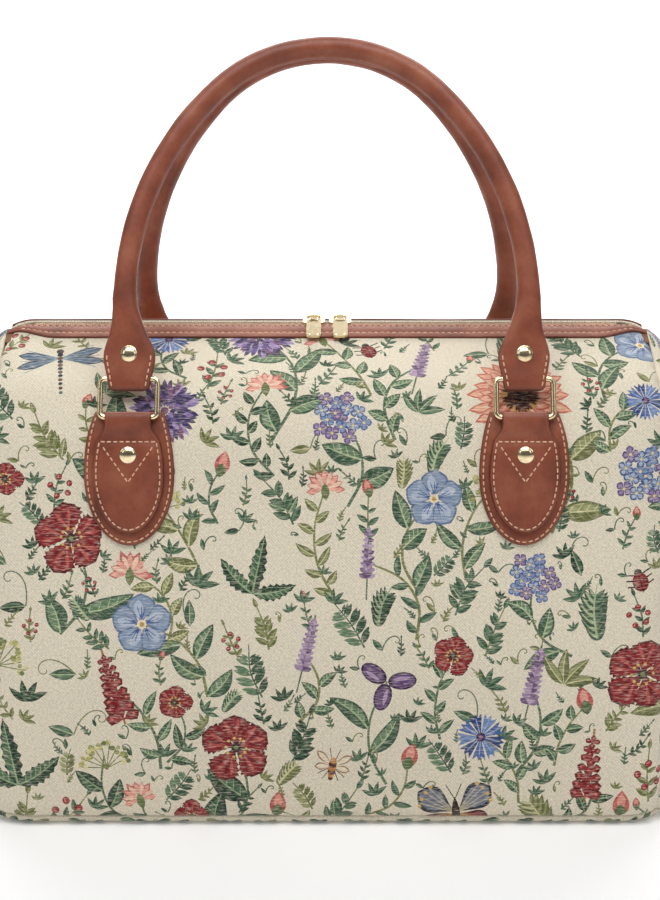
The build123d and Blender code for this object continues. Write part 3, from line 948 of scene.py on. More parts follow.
# --- the zip ---
# Across a trim, from its inner edge: place as a share of the width, and height of the leather.
TRIM_PROFILE = (
    (0.0, -0.3), (0.0, 1.2), (0.02, 1.65), (0.055, 1.8), (0.13, 1.8), (0.17, 1.6), (0.21, 1.8), (0.45, 1.9),
    (0.66, 1.8), (0.7, 1.6), (0.74, 1.8), (0.93, 1.8), (0.975, 1.6), (1.0, 1.1), (1.0, -0.3),
)
TRIM_ROWS = (0.17, 0.7)
TRIM_END = 211.0


def trim_point(facing, x, share, lift):
    """A place on the trim: share of its width from the zip outwards, lift above the cloth."""
    taper = smooth(TRIM_END - abs(x), 0, 34)
    wide = TRIM_WIDTH * (0.3 + 0.7 * taper) * share
    out = TRIM_START + wide * math.cos(ROOF_SLOPE)
    up = ridge_end(facing) - (out - RIDGE_HALF) * math.tan(ROOF_SLOPE)
    past = max(0.0, abs(x) - (HALF_LENGTH - END_SHOULDER_RADIUS))
    up -= END_SHOULDER_RADIUS - math.sqrt(END_SHOULDER_RADIUS**2 - past**2)
    up += 0.35 * noise.noise(Vector((x / 55, facing, 0)))
    normal = Vector((0, facing * math.sin(ROOF_SLOPE), math.cos(ROOF_SLOPE)))
    return Vector((x, facing * out, up)) + normal * lift, normal


class BAG_OT_zip_trims(bpy.types.Operator):
    """Two stitched leather strips beside the zip"""

    bl_idname = "holdall.zip_trims"
    bl_label = "Zip trims"

    def execute(self, context):
        steps = [TRIM_END * (k / 70 - 1) for k in range(141)]
        for face, facing in FACES:
            verts, edge = [], []
            for x in steps:
                for share, lift in TRIM_PROFILE:
                    verts.append(trim_point(facing, x, share, lift)[0])
                    edge.append(1.0 if share in (0.0, 1.0) else 0.0)
            faces = tube_faces(len(steps), len(TRIM_PROFILE))
            thing = link(f"{face}_trim_leather", verts, faces, finish_of(SPLIT))
            corner_values(thing, "edge", edge)
            tidy(thing)
            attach(thing, "bag")
            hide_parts(f"{face}_zip_trim")
            threads = Heap()
            for share in TRIM_ROWS:
                row = [trim_point(facing, x, share, 1.5) for x in steps[3:-3]]
                stitch_row(threads, [p for p, n in row], [n for p, n in row])
            threads.link(f"{face}_trim_thread", finish_of(THREAD), "bag")
        return {"FINISHED"}


ZIP_OUT = Vector((0, -math.sin(ZIP_TILT), math.cos(ZIP_TILT)))
# Across a tooth, in the zip's own frame: place towards the cloth and out of it, half width, half height.
TOOTH = (
    (-1.0, -0.9, 0.3, 0.35), (-0.7, -0.85, 0.42, 0.6), (0.4, -0.8, 0.36, 0.75), (2.6, -0.8, 0.36, 0.75),
    (3.1, -1.1, 0.3, 0.5),
)


def zip_place(x, y, z):
    """A place in the zip's own frame: along it, towards the back, and out of it."""
    across = Vector((0, math.cos(ZIP_TILT), math.sin(ZIP_TILT)))
    origin = Vector((0, 0, RIDGE_HEIGHT - RIDGE_HALF * math.tan(ZIP_TILT)))
    return origin + Vector((x, 0, 0)) + across * y + ZIP_OUT * z


class BAG_OT_zip_coils(bpy.types.Operator):
    """Two rows of zip teeth that mesh down the middle"""

    bl_idname = "holdall.zip_coils"
    bl_label = "Zip teeth"

    def execute(self, context):
        pitch = sizes().coil_pitch / MM
        for face, facing in FACES:
            teeth = Heap()
            count = int(2 * COIL_HALF / pitch) - 1
            for k in range(count):
                x = -COIL_HALF + pitch * (k + 0.75 + 0.5 * (facing > 0))
                rings = []
                for y, z, wide, tall in TOOTH:
                    middle = zip_place(x, facing * y, z)
                    rings.append(ring(middle, Vector((wide, 0, 0)), ZIP_OUT * tall, 8, 0.5))
                teeth.rings(rings)
            thing = teeth.link(f"{face}_zip_teeth", finish_of("Moulded nylon coil"), "bag", f"{face}_zip_coil")
            tidy(thing)
        return {"FINISHED"}


CAD_FINISHES = (
    ("_ring", GOLD),
    ("_zip_slider", GOLD),
    ("_zip_pull", GOLD),
    ("_zip_tape", "Woven polyester zip tape"),
    ("base_board", "Pressed fibre board"),
    ("_handle_core", "Twisted cotton rope"),
)


class BAG_OT_frame_finishes(bpy.types.Operator):
    """Finishes of the parts that keep their frame shape"""

    bl_idname = "holdall.frame_finishes"
    bl_label = "Rings, sliders, pulls and tapes"

    def execute(self, context):
        for name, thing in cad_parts.items():
            for ending, finish in CAD_FINISHES:
                if name.endswith(ending):
                    for spot in range(len(thing.material_slots)):
                        thing.material_slots[spot].material = finish_of(finish)
                    if finish == GOLD and not name.endswith("_ring"):
                        weld = thing.modifiers.new("weld", "WELD")
                        weld.merge_threshold = 0.01 * MM
                        round_edges = thing.modifiers.new("rounded edges", "BEVEL")
                        round_edges.width = 0.25 * MM
                        round_edges.segments = 2
                        round_edges.limit_method = "ANGLE"
        return {"FINISHED"}


# --- the print: fields of dyed thread, drawn flat in millimetres with complex numbers as places ---
DARK_LEAF = ("#26402f", "#47684c", "#93a882")
MID_LEAF = ("#3d5b45", "#668565", "#aebc92")
OLIVE_LEAF = ("#6d7142", "#989c68", "#cfcc9c")
TAN = "#ab7247"
STEM = "#567052"
OLIVE_STEM = "#80834f"


def turned(angle):
    """Unit step at an angle in degrees from the x axis."""
    return complex(math.cos(math.radians(angle)), math.sin(math.radians(angle)))


# A daisy's petal is three fields: where each starts and ends, its width, and where that is widest.
DAISY_PETAL = ((0.15, 0.15, 0.3), (1.0, 0.95, 0.8), (1.25, 0.85, 0.3), (0.62, 0.62, 0.6))


def unit(step):
    return step / abs(step)


def stations(line, count, first, share):
    """Places at even steps along a line, each with the unit step onwards."""
    for k in range(count):
        spot = int((first + share * k / count) * (len(line) - 2))
        yield k, line[spot], unit(line[spot + 1] - line[spot])


class Loom:
    """Collects the printed shapes; later ones lie on top."""

    def __init__(self, seed):
        self.shapes = []
        self.chance = random.Random(seed)

    def field(self, places, code, shade=None):
        area = sum((a.conjugate() * b).imag for a, b in zip(places, places[1:] + places[:1]))
        if abs(area) < 0.12:
            return
        if area < 0:
            places = places[::-1]
        shade = shade or self.chance.uniform(0.94, 1.05)
        tone = tuple(part * shade for part in linear(code)[:3]) + (1.0,)
        self.shapes.append(([(p.real, p.imag) for p in places], tone))

    def path(self, places, parts=4):
        """A smooth line through places."""
        ends = [2 * places[0] - places[1]] + list(places) + [2 * places[-1] - places[-2]]
        line = []
        for a, b, c, d in zip(ends, ends[1:], ends[2:], ends[3:]):
            for k in range(parts):
                t = k / parts
                bow, twist = 2 * a - 5 * b + 4 * c - d, 3 * b - a - 3 * c + d
                line.append(0.5 * (2 * b + (c - a) * t + bow * t**2 + twist * t**3))
        return line + [places[-1]]

    def strand(self, places, wide, code, end=None, parts=4):
        """A stem: short straight fields along a smooth line, tapering to its end width."""
        line = self.path(places, parts) if parts > 1 else list(places)
        end = wide if end is None else end
        shade = self.chance.uniform(0.94, 1.05)
        last = len(line) - 1
        for k in range(last):
            step = line[k + 1] - line[k]
            if abs(step) < 0.2:
                continue
            side = step / abs(step) * 1j / 2
            a, b = wide + (end - wide) * k / last, wide + (end - wide) * (k + 1) / last
            over = step * 0.08
            foot, tip = line[k] - over, line[k + 1] + over
            self.field([foot - side * a, tip - side * b, tip + side * b, foot + side * a], code, shade)

    def blade(self, a, b, wide, code, full=0.5, bend=0.0, teeth=0, shift=0.0, part=1.0, side=0):
        """A leaf or petal outline from a to b; full is where it is widest, side keeps one half of it."""
        span = b - a
        cross = span * 1j / abs(span)
        count = max(6, teeth * 2, 12 if wide > 9 else 0)
        left, right = [], []
        for k in range(count + 1):
            t = k / count
            swell = math.sin(math.pi * t ** (math.log(0.5) / math.log(full)))
            half = wide / 2 * part * max(0.0, swell) ** 0.85
            if teeth and 0 < k < count and k % 2:
                half *= 0.82 if wide > abs(span) * 0.7 else 0.68
            middle = a + span * t + cross * (bend * 4 * t * (1 - t) + shift)
            left.append(middle + cross * half * (side >= 0))
            right.append(middle - cross * half * (side <= 0))
        self.field(left + right[::-1][1:-1], code)

    def leaf(self, a, b, wide, tones=DARK_LEAF, bend=0.0, teeth=0, ribs=0, full=0.42):
        dark, mid, light = tones
        self.blade(a, b, wide, dark, full, bend, teeth)
        side = self.chance.choice((-1, 1))
        self.blade(a + (b - a) * 0.06, a + (b - a) * 0.9, wide * 0.78, mid, full, bend * 0.9, 0, side=side)
        if wide > 5:
            span = b - a
            cross = span * 1j / abs(span)
            spine = [a + span * t + cross * bend * 4 * t * (1 - t) for t in (0.02, 0.3, 0.6, 0.92)]
            for k in range(ribs):
                t = 0.16 + 0.66 * k / max(1, ribs - 1)
                root = a + span * t + cross * bend * 4 * t * (1 - t)
                reach_out = wide * 0.36 * math.sin(math.pi * min(1, t + 0.12)) ** 0.8
                for way in (-1, 1):
                    tip = root + span / abs(span) * reach_out * 0.75 + cross * way * reach_out
                    self.strand([root, tip], 0.75, light if way == side else mid, 0.4, parts=1)
            self.strand(spine, min(1.3, wide * 0.12), light, 0.5, parts=3)

    def sprig(self, places, pairs, size, tones=DARK_LEAF, spreading=50, stem=STEM, tip=True, slim=0.42):
        """A stem with leaves in pairs."""
        line = self.path(places, 6)
        self.strand(places, 1.3, stem, 0.8)
        for k, place, way in stations(line, pairs, 0.14, 0.8):
            small = size * (1 - 0.4 * k / pairs) * self.chance.uniform(0.85, 1.1)
            for side in (-1, 1):
                heading = way * turned(side * (spreading + self.chance.uniform(-9, 9)))
                root = place + way * side * size * 0.1
                self.leaf(root, root + heading * small, small * slim, tones)
        if tip:
            way = unit(line[-1] - line[-2])
            self.leaf(line[-1], line[-1] + way * size * 0.7, size * 0.7 * slim, tones)

    def tendril(self, start, heading, length, curl, code):
        """A thin stem that curls up on itself."""
        place, line = start, [start]
        for k in range(18):
            heading += curl * (0.2 + 1.9 * (k / 17) ** 2)
            place += turned(heading) * length / 18 * (1.25 - 0.6 * k / 17)
            line.append(place)
        self.strand(line, 0.9, code, 0.63, parts=1)

    def dot(self, centre, radius, code, flat=1.0, heading=0.0, count=9):
        way = turned(heading)
        ring = []
        for k in range(count):
            turn = math.tau * k / count
            ring.append(centre + way * complex(radius * math.cos(turn), radius * flat * math.sin(turn)))
        self.field(ring, code)

    def fruit(self, centre, long, wide, heading, dark, mid, light):
        """A plum, berry or bud: outline, flesh and a light stripe."""
        self.dot(centre, long / 2, dark, wide / long, heading, 14)
        self.dot(centre + turned(heading) * long * 0.02, long * 0.41, mid, wide / long, heading, 12)
        side = turned(heading) * 1j * wide * 0.14
        way = turned(heading) * long * 0.3
        self.blade(centre - way + side, centre + way + side, wide * 0.24, light)

    def umbel(self, foot, heading, size):
        """A fan of thin stalks with green-yellow heads."""
        for k in range(9):
            way = turned(heading + (k - 4) * 19)
            tip = foot + way * size * self.chance.uniform(0.75, 1.0)
            self.strand([foot, tip], 0.7, OLIVE_STEM, parts=1)
            for j in range(4):
                spot = tip + turned(self.chance.uniform(0, 360)) * size * 0.13
                wide = size * self.chance.uniform(0.08, 0.12)
                self.dot(spot, wide, self.chance.choice(("#b9b56c", "#989c55", "#dcd193", "#6f7b48")), count=6)

    def lavender(self, foot, tip, wide=11.0):
        """A spike of small mauve flowers."""
        self.strand([foot, tip], 1.0, STEM, parts=1)
        way = unit(tip - foot)
        rows = max(5, int(abs(tip - foot) / 4.6))
        for k in range(rows):
            t = 0.25 + 0.75 * k / rows
            spot = foot + (tip - foot) * t
            small = wide * (0.6 - 0.3 * t)
            for side in (-1.0, -0.45, 0.45, 1.0):
                petal = way * turned(side * 62) * small
                code = self.chance.choice(("#8b7092", "#b59cb8", "#6b5078", "#a184a6"))
                self.blade(spot, spot + petal, small * 0.5, code, full=0.6)
        self.dot(tip, 1.6, "#b59cb8", count=7)

    def five(self, centre, size, heading):
        """A pale blue flower of five round petals."""
        for k in range(5):
            way = turned(heading + 72 * k)
            self.blade(centre + way, centre + way * size, size * 0.92, "#62779a", full=0.62)
        for k in range(5):
            way = turned(heading + 72 * k)
            self.blade(centre + way * 2, centre + way * size * 0.94, size * 0.78, "#8d9fb9", full=0.62)
            root, tip = centre + way * 3, centre + way * size * 0.8
            self.blade(root, tip, size * 0.3, "#b5c1d2", full=0.6, shift=size * 0.1)
            for lean in (-13, 0, 13):
                vein = [centre + way * 2.5, centre + way * turned(lean) * size * 0.55]
                self.strand(vein, 0.9, "#44609a", 0.4, parts=1)
        self.dot(centre, size * 0.16, "#efe3bf")
        self.dot(centre, size * 0.08, "#c39a4c", count=7)

    def poppy(self, centre, size, heading):
        """A red flower of broad ruffled petals, each with a dark edge."""
        for k in range(5):
            way = turned(heading + 72 * k + self.chance.uniform(-7, 7))
            tip = centre + way * size * self.chance.uniform(0.88, 1.08)
            self.blade(centre, tip, size * 0.98, "#5e151c", full=0.66, teeth=8)
            self.blade(centre + way, centre + (tip - centre) * 0.93, size * 0.8, "#92282d", full=0.66)
            for lean in (-21, -8, 8, 21):
                code = "#b8554e" if lean in (-8, 21) else "#741c23"
                root, tip = centre + way * size * 0.26, centre + way * turned(lean) * size * 0.84
                self.blade(root, tip, size * 0.1, code, full=0.65)
        for k in range(10):
            way = turned(36 * k + self.chance.uniform(-8, 8))
            self.strand([centre, centre + way * size * 0.27], 0.6, "#2d2a24", parts=1)
            self.dot(centre + way * size * 0.28, size * 0.035 + 0.3, "#d5b25f", count=5)
        self.dot(centre, size * 0.14, "#3d2a2c")
        self.dot(centre, size * 0.07, "#7e8a52", count=7)

    def daisy(self, centre, size):
        """A great flower of many pointed coral petals round a brown disk."""
        for ring, count, far, wide, codes in (
            (0, 22, 1.0, 0.2, ("#c9705a", "#eab094", "#f2cdb0")),
            (1, 20, 0.86, 0.17, ("#d07a64", "#f0bc9f", "#e79c84")),
            (2, 18, 0.66, 0.15, ("#bb5f50", "#e4957c", "#f3c9aa")),
        ):
            for k in range(count):
                turn = 360 / count * (k + ring * 0.5) + self.chance.uniform(-4, 4)
                way = turned(turn)
                long = size * far * self.chance.uniform(0.86, 1.06)
                bend = self.chance.uniform(-2.5, 2.5)
                for code, near, reach_out, share, full in zip(codes, *DAISY_PETAL):
                    root, tip = centre + way * size * near, centre + way * long * reach_out
                    self.blade(root, tip, size * wide * share, code, full, bend)
        self.dot(centre, size * 0.36, "#c9954f", count=20)
        for k in range(34):
            way = turned(360 / 34 * k)
            code = self.chance.choice(("#5a2f2a", "#6f3d30", "#d9ad66", "#4a2422"))
            tip = centre + way * size * self.chance.uniform(0.34, 0.42)
            self.blade(centre + way * size * 0.16, tip, size * 0.06, code)
        self.dot(centre, size * 0.24, "#53302a", count=16)
        for k in range(40):
            spot = centre + turned(self.chance.uniform(0, 360)) * size * self.chance.uniform(0.02, 0.2)
            self.dot(spot, size * 0.02 + 0.2, self.chance.choice(("#8a5a3c", "#3a1e1e", "#b07f4c")), count=5)
        self.dot(centre + size * 0.03, size * 0.1, "#34191a", 1.6, count=10)

    def pompom(self, centre, size):
        """A round head of many thin petals."""
        codes = ("#443963", "#66528a", "#8b74a8", "#7b5377", "#a58fbe")
        for far, count in ((1.0, 40), (0.84, 32), (0.66, 26), (0.48, 18), (0.3, 12)):
            for k in range(count):
                way = turned(360 / count * k + self.chance.uniform(-6, 6))
                long = size * far * self.chance.uniform(0.9, 1.07)
                code = codes[0] if k % 3 == 0 else self.chance.choice(codes)
                self.blade(centre + way * long * 0.42, centre + way * long, size * 0.15, code, full=0.6)
        self.dot(centre, size * 0.12, codes[3], count=8)

    def cornflower(self, centre, size, heading):
        for k in range(9):
            way = turned(heading + 40 * k)
            side = way * 1j * size * 0.26
            tip = centre + way * size
            fan = [centre]
            for off, out in ((-1, -2), (-1.15, 1), (-0.4, -1.5), (0, 1.5), (0.4, -1.5), (1.15, 1), (1, -2)):
                fan.append(tip + side * off + way * out)
            self.field(fan, ("#31487e", "#4c6aa6", "#6f8cbd")[k % 3])
            self.strand([centre, centre + way * size * 0.8], 0.7, "#9db0d2", parts=1)
        self.dot(centre, size * 0.22, "#3a2a52")
        self.dot(centre, size * 0.1, "#8f6a9c", count=6)

    def cluster(self, centre, size, count=15):
        """A crowd of small blue four-petalled flowers."""
        for k in range(count):
            spot = centre + turned(k * 137.5) * size * 0.86 * math.sqrt(k / count)
            first = self.chance.uniform(0, 90)
            codes = self.chance.choice((("#52699a", "#8197c0"), ("#65507f", "#9884ad"), ("#46608f", "#a9b8d3")))
            for j in range(4):
                way = turned(first + 90 * j)
                self.blade(spot, spot + way * size * 0.27, size * 0.25, codes[0], full=0.62)
                self.blade(spot + way * 0.6, spot + way * size * 0.22, size * 0.13, codes[1], full=0.62)
            self.dot(spot, size * 0.045 + 0.2, "#e2cf8a", count=5)

    def snapdragon(self, foot, tip, wide):
        """A column of dark red lipped flowers."""
        self.strand([foot, tip], 1.4, TAN, parts=1)
        way = unit(tip - foot)
        rows = int(abs(tip - foot) / 5.2)
        for k in range(rows):
            t = k / rows
            spot = foot + (tip - foot) * t
            small = wide * (0.62 - 0.38 * t)
            for side in (-1, 1, 0):
                heading = way * turned(side * 70 + self.chance.uniform(-10, 10))
                self.blade(spot, spot + heading * small, small * 0.75, "#6b1119", full=0.62, teeth=3)
                code = self.chance.choice(("#88262b", "#9a3b3b", "#8c1a22"))
                self.blade(spot, spot + heading * small * 0.85, small * 0.42, code, full=0.6)
                self.dot(spot + heading * small * 0.66, small * 0.1, "#d8756c", count=5)

    def pinks(self, centre, size, heading):
        """A pink flower head on a green calyx."""
        for k in range(9):
            way = turned(heading + (k - 4) * 24)
            tip = centre + way * size * self.chance.uniform(0.8, 1.1)
            self.blade(centre, tip, size * 0.38, "#c66a62", full=0.68, teeth=3)
            code = ("#eba795", "#f2cbb2")[k % 2]
            self.blade(centre, centre + way * size * 0.85, size * 0.24, code, full=0.66)
        way = turned(heading) * size
        self.blade(centre - way * 0.55, centre + way * 0.3, size * 0.4, "#6d7a4a")

    def bud(self, centre, size, heading):
        way = turned(heading)
        self.blade(centre - way * size * 0.4, centre + way * size, size * 0.85, "#c05b55", full=0.45)
        self.blade(centre, centre + way * size * 0.85, size * 0.45, "#e39a8a", full=0.5)
        self.blade(centre - way * size * 0.5, centre + way * size * 0.3, size * 0.6, "#5d7048")

    def ladybird(self, centre, size, heading):
        way = turned(heading)
        for reach_along in (-0.22, 0.05, 0.3):
            for side in (-1, 1):
                root = centre + way * size * reach_along
                self.strand([root, root + way * turned(side * 75) * size * 0.55], 0.9, "#2c211f", parts=1)
        self.dot(centre + way * size * 0.42, size * 0.17, "#2c211f", count=8)
        self.dot(centre, size * 0.42, "#6f1218", 0.8, heading, 14)
        self.dot(centre, size * 0.36, "#9a2c2e", 0.78, heading, 12)
        self.strand([centre - way * size * 0.4, centre + way * size * 0.38], 0.8, "#2c211f", parts=1)
        for along, off in ((-0.18, 0.16), (0.12, 0.15), (-0.02, 0.26)):
            for side in (-1, 1):
                spot = centre + way * size * along + way * 1j * side * size * off
                self.dot(spot, size * 0.06, "#2a1c1c", count=6)

    def wings(self, root, tip, wide, outline, inner, veins):
        self.blade(root, tip, wide, outline, full=0.66)
        self.blade(root + (tip - root) * 0.06, root + (tip - root) * 0.95, wide * 0.74, inner, full=0.66)
        for lean in (-14, -5, 5, 14):
            self.strand([root, root + (tip - root) * turned(lean) * 0.82], 0.6, veins, parts=1)

    def butterfly(self, centre, size, heading):
        way = turned(heading)
        for side in (-1, 1):
            tip = centre + way * turned(side * 118) * size * 0.5
            self.wings(centre, tip, size * 0.36, "#54202a", "#8a3440", "#d9a24e")
            tip = centre + way * turned(side * 55) * size * 0.62
            self.wings(centre, tip, size * 0.4, "#2f3440", "#7a8296", "#c8b98a")
            for k in range(4):
                spot = centre + way * turned(side * (38 + 12 * k)) * size * 0.52
                self.dot(spot, size * 0.03, "#d9b25e", count=5)
            self.dot(centre + way * turned(side * 118) * size * 0.33, size * 0.05, "#d9a24e", count=7)
            feeler = [centre + way * size * 0.2, centre + way * turned(side * 14) * size * 0.42]
            self.strand(feeler, 0.6, "#2c211f", parts=1)
        self.blade(centre - way * size * 0.28, centre + way * size * 0.24, size * 0.12, "#3a2622")

    def dragonfly(self, head, tail, size):
        way = unit(tail - head)
        root = head + way * abs(tail - head) * 0.16
        for side in (-1, 1):
            for lean, long in ((76, 0.5), (104, 0.52)):
                tip = root - way * turned(side * lean) * size * long
                self.wings(root, tip, size * 0.15, "#323a48", "#5f7288", "#93a5b0")
        rows = 11
        for k in range(rows):
            spot = head + (tail - head) * (0.08 + 0.88 * k / rows)
            self.dot(spot, size * (0.036 - 0.015 * k / rows), ("#2c3a44", "#6e4a3c")[k % 2], count=8)
        self.dot(head, size * 0.045, "#3c2a2a", count=8)

    def bee(self, centre, size, heading):
        way = turned(heading)
        for side in (-1, 1):
            for lean, long in ((52, 0.62), (98, 0.5)):
                tip = centre + way * turned(side * lean) * size * long
                self.blade(centre, tip, size * 0.22, "#a1745a", full=0.66)
                self.blade(centre, centre + (tip - centre) * 0.92, size * 0.14, "#e9dcc0", full=0.66)
            for lean in (125, 150):
                tip = centre + way * turned(side * lean) * size * 0.42
                self.strand([centre, tip], 0.6, "#5a3226", parts=1)
            self.strand([centre, centre + way * turned(side * 16) * size * 0.5], 0.5, "#5a3226", parts=1)
        for k in range(6):
            spot, wide = centre - way * size * (0.34 - 0.1 * k), size * (0.07 + 0.05 * math.sin(k / 1.9))
            self.dot(spot, wide, ("#5a2f24", "#c98a48")[k % 2], count=8)

    def fern(self, places, pairs, size, tones=MID_LEAF):
        line = self.path(places, 8)
        self.strand(places, 1.2, tones[0], 0.6)
        for k, place, way in stations(line, pairs, 0.08, 0.88):
            small = size * math.sin(math.pi * (0.25 + 0.72 * k / pairs)) ** 0.7
            for side in (-1, 1):
                self.blade(place, place + way * turned(side * 58) * small, small * 0.3, tones[side > 0])

    def feather(self, places, lobes, size, tones=MID_LEAF):
        """A long leaf cut into narrow pointed lobes."""
        line = self.path(places, 8)
        for k, place, way in stations(line, lobes, 0.03, 0.93):
            small = size * math.sin(math.pi * (0.2 + 0.74 * k / lobes)) ** 0.8
            for side in (-1, 1):
                tip = place + way * turned(side * 42) * small
                self.blade(place - way * size * 0.1, tip, small * 0.38, tones[0], full=0.35)
                tone = tones[1 if side < 0 else 2]
                self.blade(place, place + (tip - place) * 0.85, small * 0.17, tone, full=0.35)
        self.strand(places, 1.6, tones[2], 0.6)

    def berries(self, places, size):
        for place in places:
            self.fruit(place, size, size * 0.9, self.chance.uniform(0, 180), "#7c1720", "#983032", "#e08078")


# --- planting: common garden flowers, set out by rule where the most room is left ---
class Garden:
    """Plants a panel: the largest heads first, then their stems, then small growth in the gaps."""

    def __init__(self, seed, half, top):
        self.loom = Loom(seed)
        self.chance = self.loom.chance
        self.half, self.top = half, top
        self.taken = []

    def room_at(self, spot):
        """Bare ground round a place, in millimetres."""
        return min((abs(spot - other) - room for other, room in self.taken), default=self.half)

    def free_spot(self, tries):
        """The barest of several places chosen at random."""
        spots = []
        for k in range(tries):
            x = self.chance.uniform(-self.half, self.half)
            spots.append(complex(x, self.chance.uniform(0, self.top)))
        return max(spots, key=self.room_at)

    def way_down(self, head, length):
        """The clearest of several bending lines from a head towards the ground."""
        ways = []
        for k in range(16):
            heading = 270 + self.chance.uniform(-42, 42)
            bulge = turned(heading + 90) * length * self.chance.uniform(-0.22, 0.22)
            foot = head + turned(heading) * length
            ways.append([head, head + (foot - head) * 0.35 + bulge, head + (foot - head) * 0.7 + bulge, foot])
        return min(ways, key=lambda way: sum(max(0.0, 7 - self.room_at(place)) for place in way[1:]))

    def leafy_stem(self, way, size, tones, stem, wide):
        """A stem with leaves on alternate sides, left out where something else grows."""
        self.loom.strand(way, wide * 0.6, stem, wide)
        line = self.loom.path(way, 10)
        slim = self.chance.uniform(0.36, 0.52)
        side, gone = 1, 0.0
        for above, below in zip(line, line[1:]):
            gone += abs(above - below)
            if gone < size * 0.5 or above == below:
                continue
            gone, side = 0.0, -side
            heading = unit(above - below) * turned(side * self.chance.uniform(38, 64))
            tip = below + heading * size * self.chance.uniform(0.8, 1.2)
            middle = (below + tip) / 2
            if self.room_at(middle) > size * 0.02:
                bend = self.chance.uniform(-0.1, 0.1) * size
                self.loom.leaf(below, tip, size * slim, tones, bend=bend, ribs=5 if size > 13 else 0)
                self.taken.append((middle, size * 0.27))

    def head(self, kind, spot, size, up):
        loom, way = self.loom, turned(up)
        if kind in ("poppy", "five", "cornflower", "pinks", "bud", "ladybird", "bee", "butterfly"):
            getattr(loom, kind)(spot, size, up)
        elif kind in ("daisy", "pompom", "cluster"):
            getattr(loom, kind)(spot, size)
        elif kind in ("lavender", "snapdragon"):
            wide = size * (0.55 if kind == "lavender" else 0.85)
            getattr(loom, kind)(spot - way * size, spot + way * size, wide)
        elif kind == "umbel":
            loom.umbel(spot - way * size * 0.5, up, size)
        elif kind == "plums":
            for turn in (-70, 70, 180):
                middle = spot + turned(up + turn) * size * 0.62
                tones = ("#3b2347", "#674a78", "#b79cbc")
                loom.fruit(middle, size * 1.15, size * 0.72, up + turn, *tones)
        elif kind == "leaves":
            foot = spot - way * size * 0.5
            for turn, long in ((-62, 0.9), (58, 0.95), (4, 1.2)):
                tip = foot + way * turned(turn) * size * long
                loom.leaf(foot, tip, size * 0.36, DARK_LEAF, bend=turn * 0.03, teeth=7, ribs=7)
        elif kind == "dragonfly":
            loom.dragonfly(spot + way * size * 0.4, spot - way * size * 0.4, size)

    def plant(self, flowers):
        """flowers are rows of FLOWERS, the largest first."""
        area = 2 * self.half * self.top / 1e5
        heads = []
        for kind, size, room, stem, leaf, number in flowers:
            for k in range(max(1, round(number * area))):
                spot = self.free_spot(14)
                if self.room_at(spot) > room * 0.8:
                    heads.append((kind, spot, size * self.chance.uniform(0.9, 1.08), stem, leaf))
                    self.taken.append((spot, room))
        for kind, spot, size, stem, leaf in heads:
            if stem:
                tones, green = self.chance.choice(GREENS)
                way = self.way_down(spot, stem * self.chance.uniform(0.85, 1.25))
                self.leafy_stem(way, leaf * self.chance.uniform(0.85, 1.15), tones, green, 1.2 + size * 0.04)
        self.fill(int(330 * area))
        for kind, spot, size, stem, leaf in heads:
            self.head(kind, spot, size, 90 + self.chance.uniform(-22, 22))
        return self.loom.shapes

    def fill(self, tries):
        """Sprigs, ferns, tendrils, buds and berries, each as large as its gap."""
        loom = self.loom
        for k in range(tries):
            spot = self.free_spot(24)
            room = self.room_at(spot)
            if room < 3.0:
                continue
            size = min(room * 1.15, 17)
            tones, green = self.chance.choice(GREENS)
            up = turned(90 + self.chance.uniform(-50, 50))
            foot, tip = spot - up * size, spot + up * size
            line = [foot, spot + up * 1j * size * self.chance.uniform(-0.2, 0.2), tip]
            kind = self.chance.randrange(8) if size > 8 else self.chance.choice((0, 2, 6))
            if kind in (0, 1):
                loom.sprig(line, max(3, int(size / 2.6)), size * 0.72, tones, stem=green)
            elif kind == 2:
                heading = self.chance.uniform(50, 130)
                loom.tendril(foot, heading, size * 2.4, self.chance.choice((-21, 21)), green)
                loom.leaf(foot, foot + up * turned(50) * size, size * 0.42, tones)
            elif kind == 3:
                loom.feather(line, 7, size * 0.85, tones)
            elif kind == 4:
                loom.fern(line, 9, size * 0.7, tones)
            elif kind == 5:
                loom.sprig(line, 3, size * 0.6, tones, stem=green, tip=False)
                loom.bud(tip, size * 0.55, self.chance.uniform(60, 120))
            elif kind == 6:
                for turn in (-58, -20, 20, 58):
                    leaf_tip = foot + up * turned(turn) * size * 1.4
                    loom.leaf(foot, leaf_tip, size * 0.44, tones, bend=size * 0.06)
            else:
                loom.sprig(line, 3, size * 0.6, tones, stem=green)
                places = [spot + turned(turn) * size * 0.45 for turn in (20, 95, 170, 250, 320)]
                loom.berries(places, size * 0.3)
            self.taken.append((spot, size * 0.85))


GREENS = ((DARK_LEAF, STEM), (MID_LEAF, STEM), (MID_LEAF, OLIVE_STEM), (OLIVE_LEAF, OLIVE_STEM))

# kind, size, room, stem, leaf, number on 1000 square centimetres
FLOWERS = (
    ("daisy", 36, 34, 96, 30, 0.75),
    ("dragonfly", 60, 27, 0, 0, 0.7),
    ("butterfly", 46, 25, 0, 0, 0.7),
    ("leaves", 34, 25, 0, 0, 1.8),
    ("poppy", 23, 21, 66, 28, 2.2),
    ("pompom", 22, 20, 72, 26, 1.5),
    ("plums", 17, 19, 54, 27, 1.1),
    ("cluster", 19, 18, 52, 24, 2.1),
    ("five", 18, 17, 56, 22, 2.4),
    ("snapdragon", 21, 18, 50, 16, 1.4),
    ("lavender", 22, 16, 50, 14, 2.6),
    ("umbel", 17, 15, 52, 22, 2.6),
    ("bee", 22, 13, 0, 0, 0.7),
    ("poppy", 13, 12, 44, 14, 2.8),
    ("cornflower", 13, 12, 46, 14, 2.4),
    ("pinks", 13, 11, 52, 13, 3.6),
    ("ladybird", 16, 10, 0, 0, 1.2),
    ("bud", 12, 9, 40, 12, 3.4),
)
SIDE_HALF, END_HALF = 206.0, 92.0


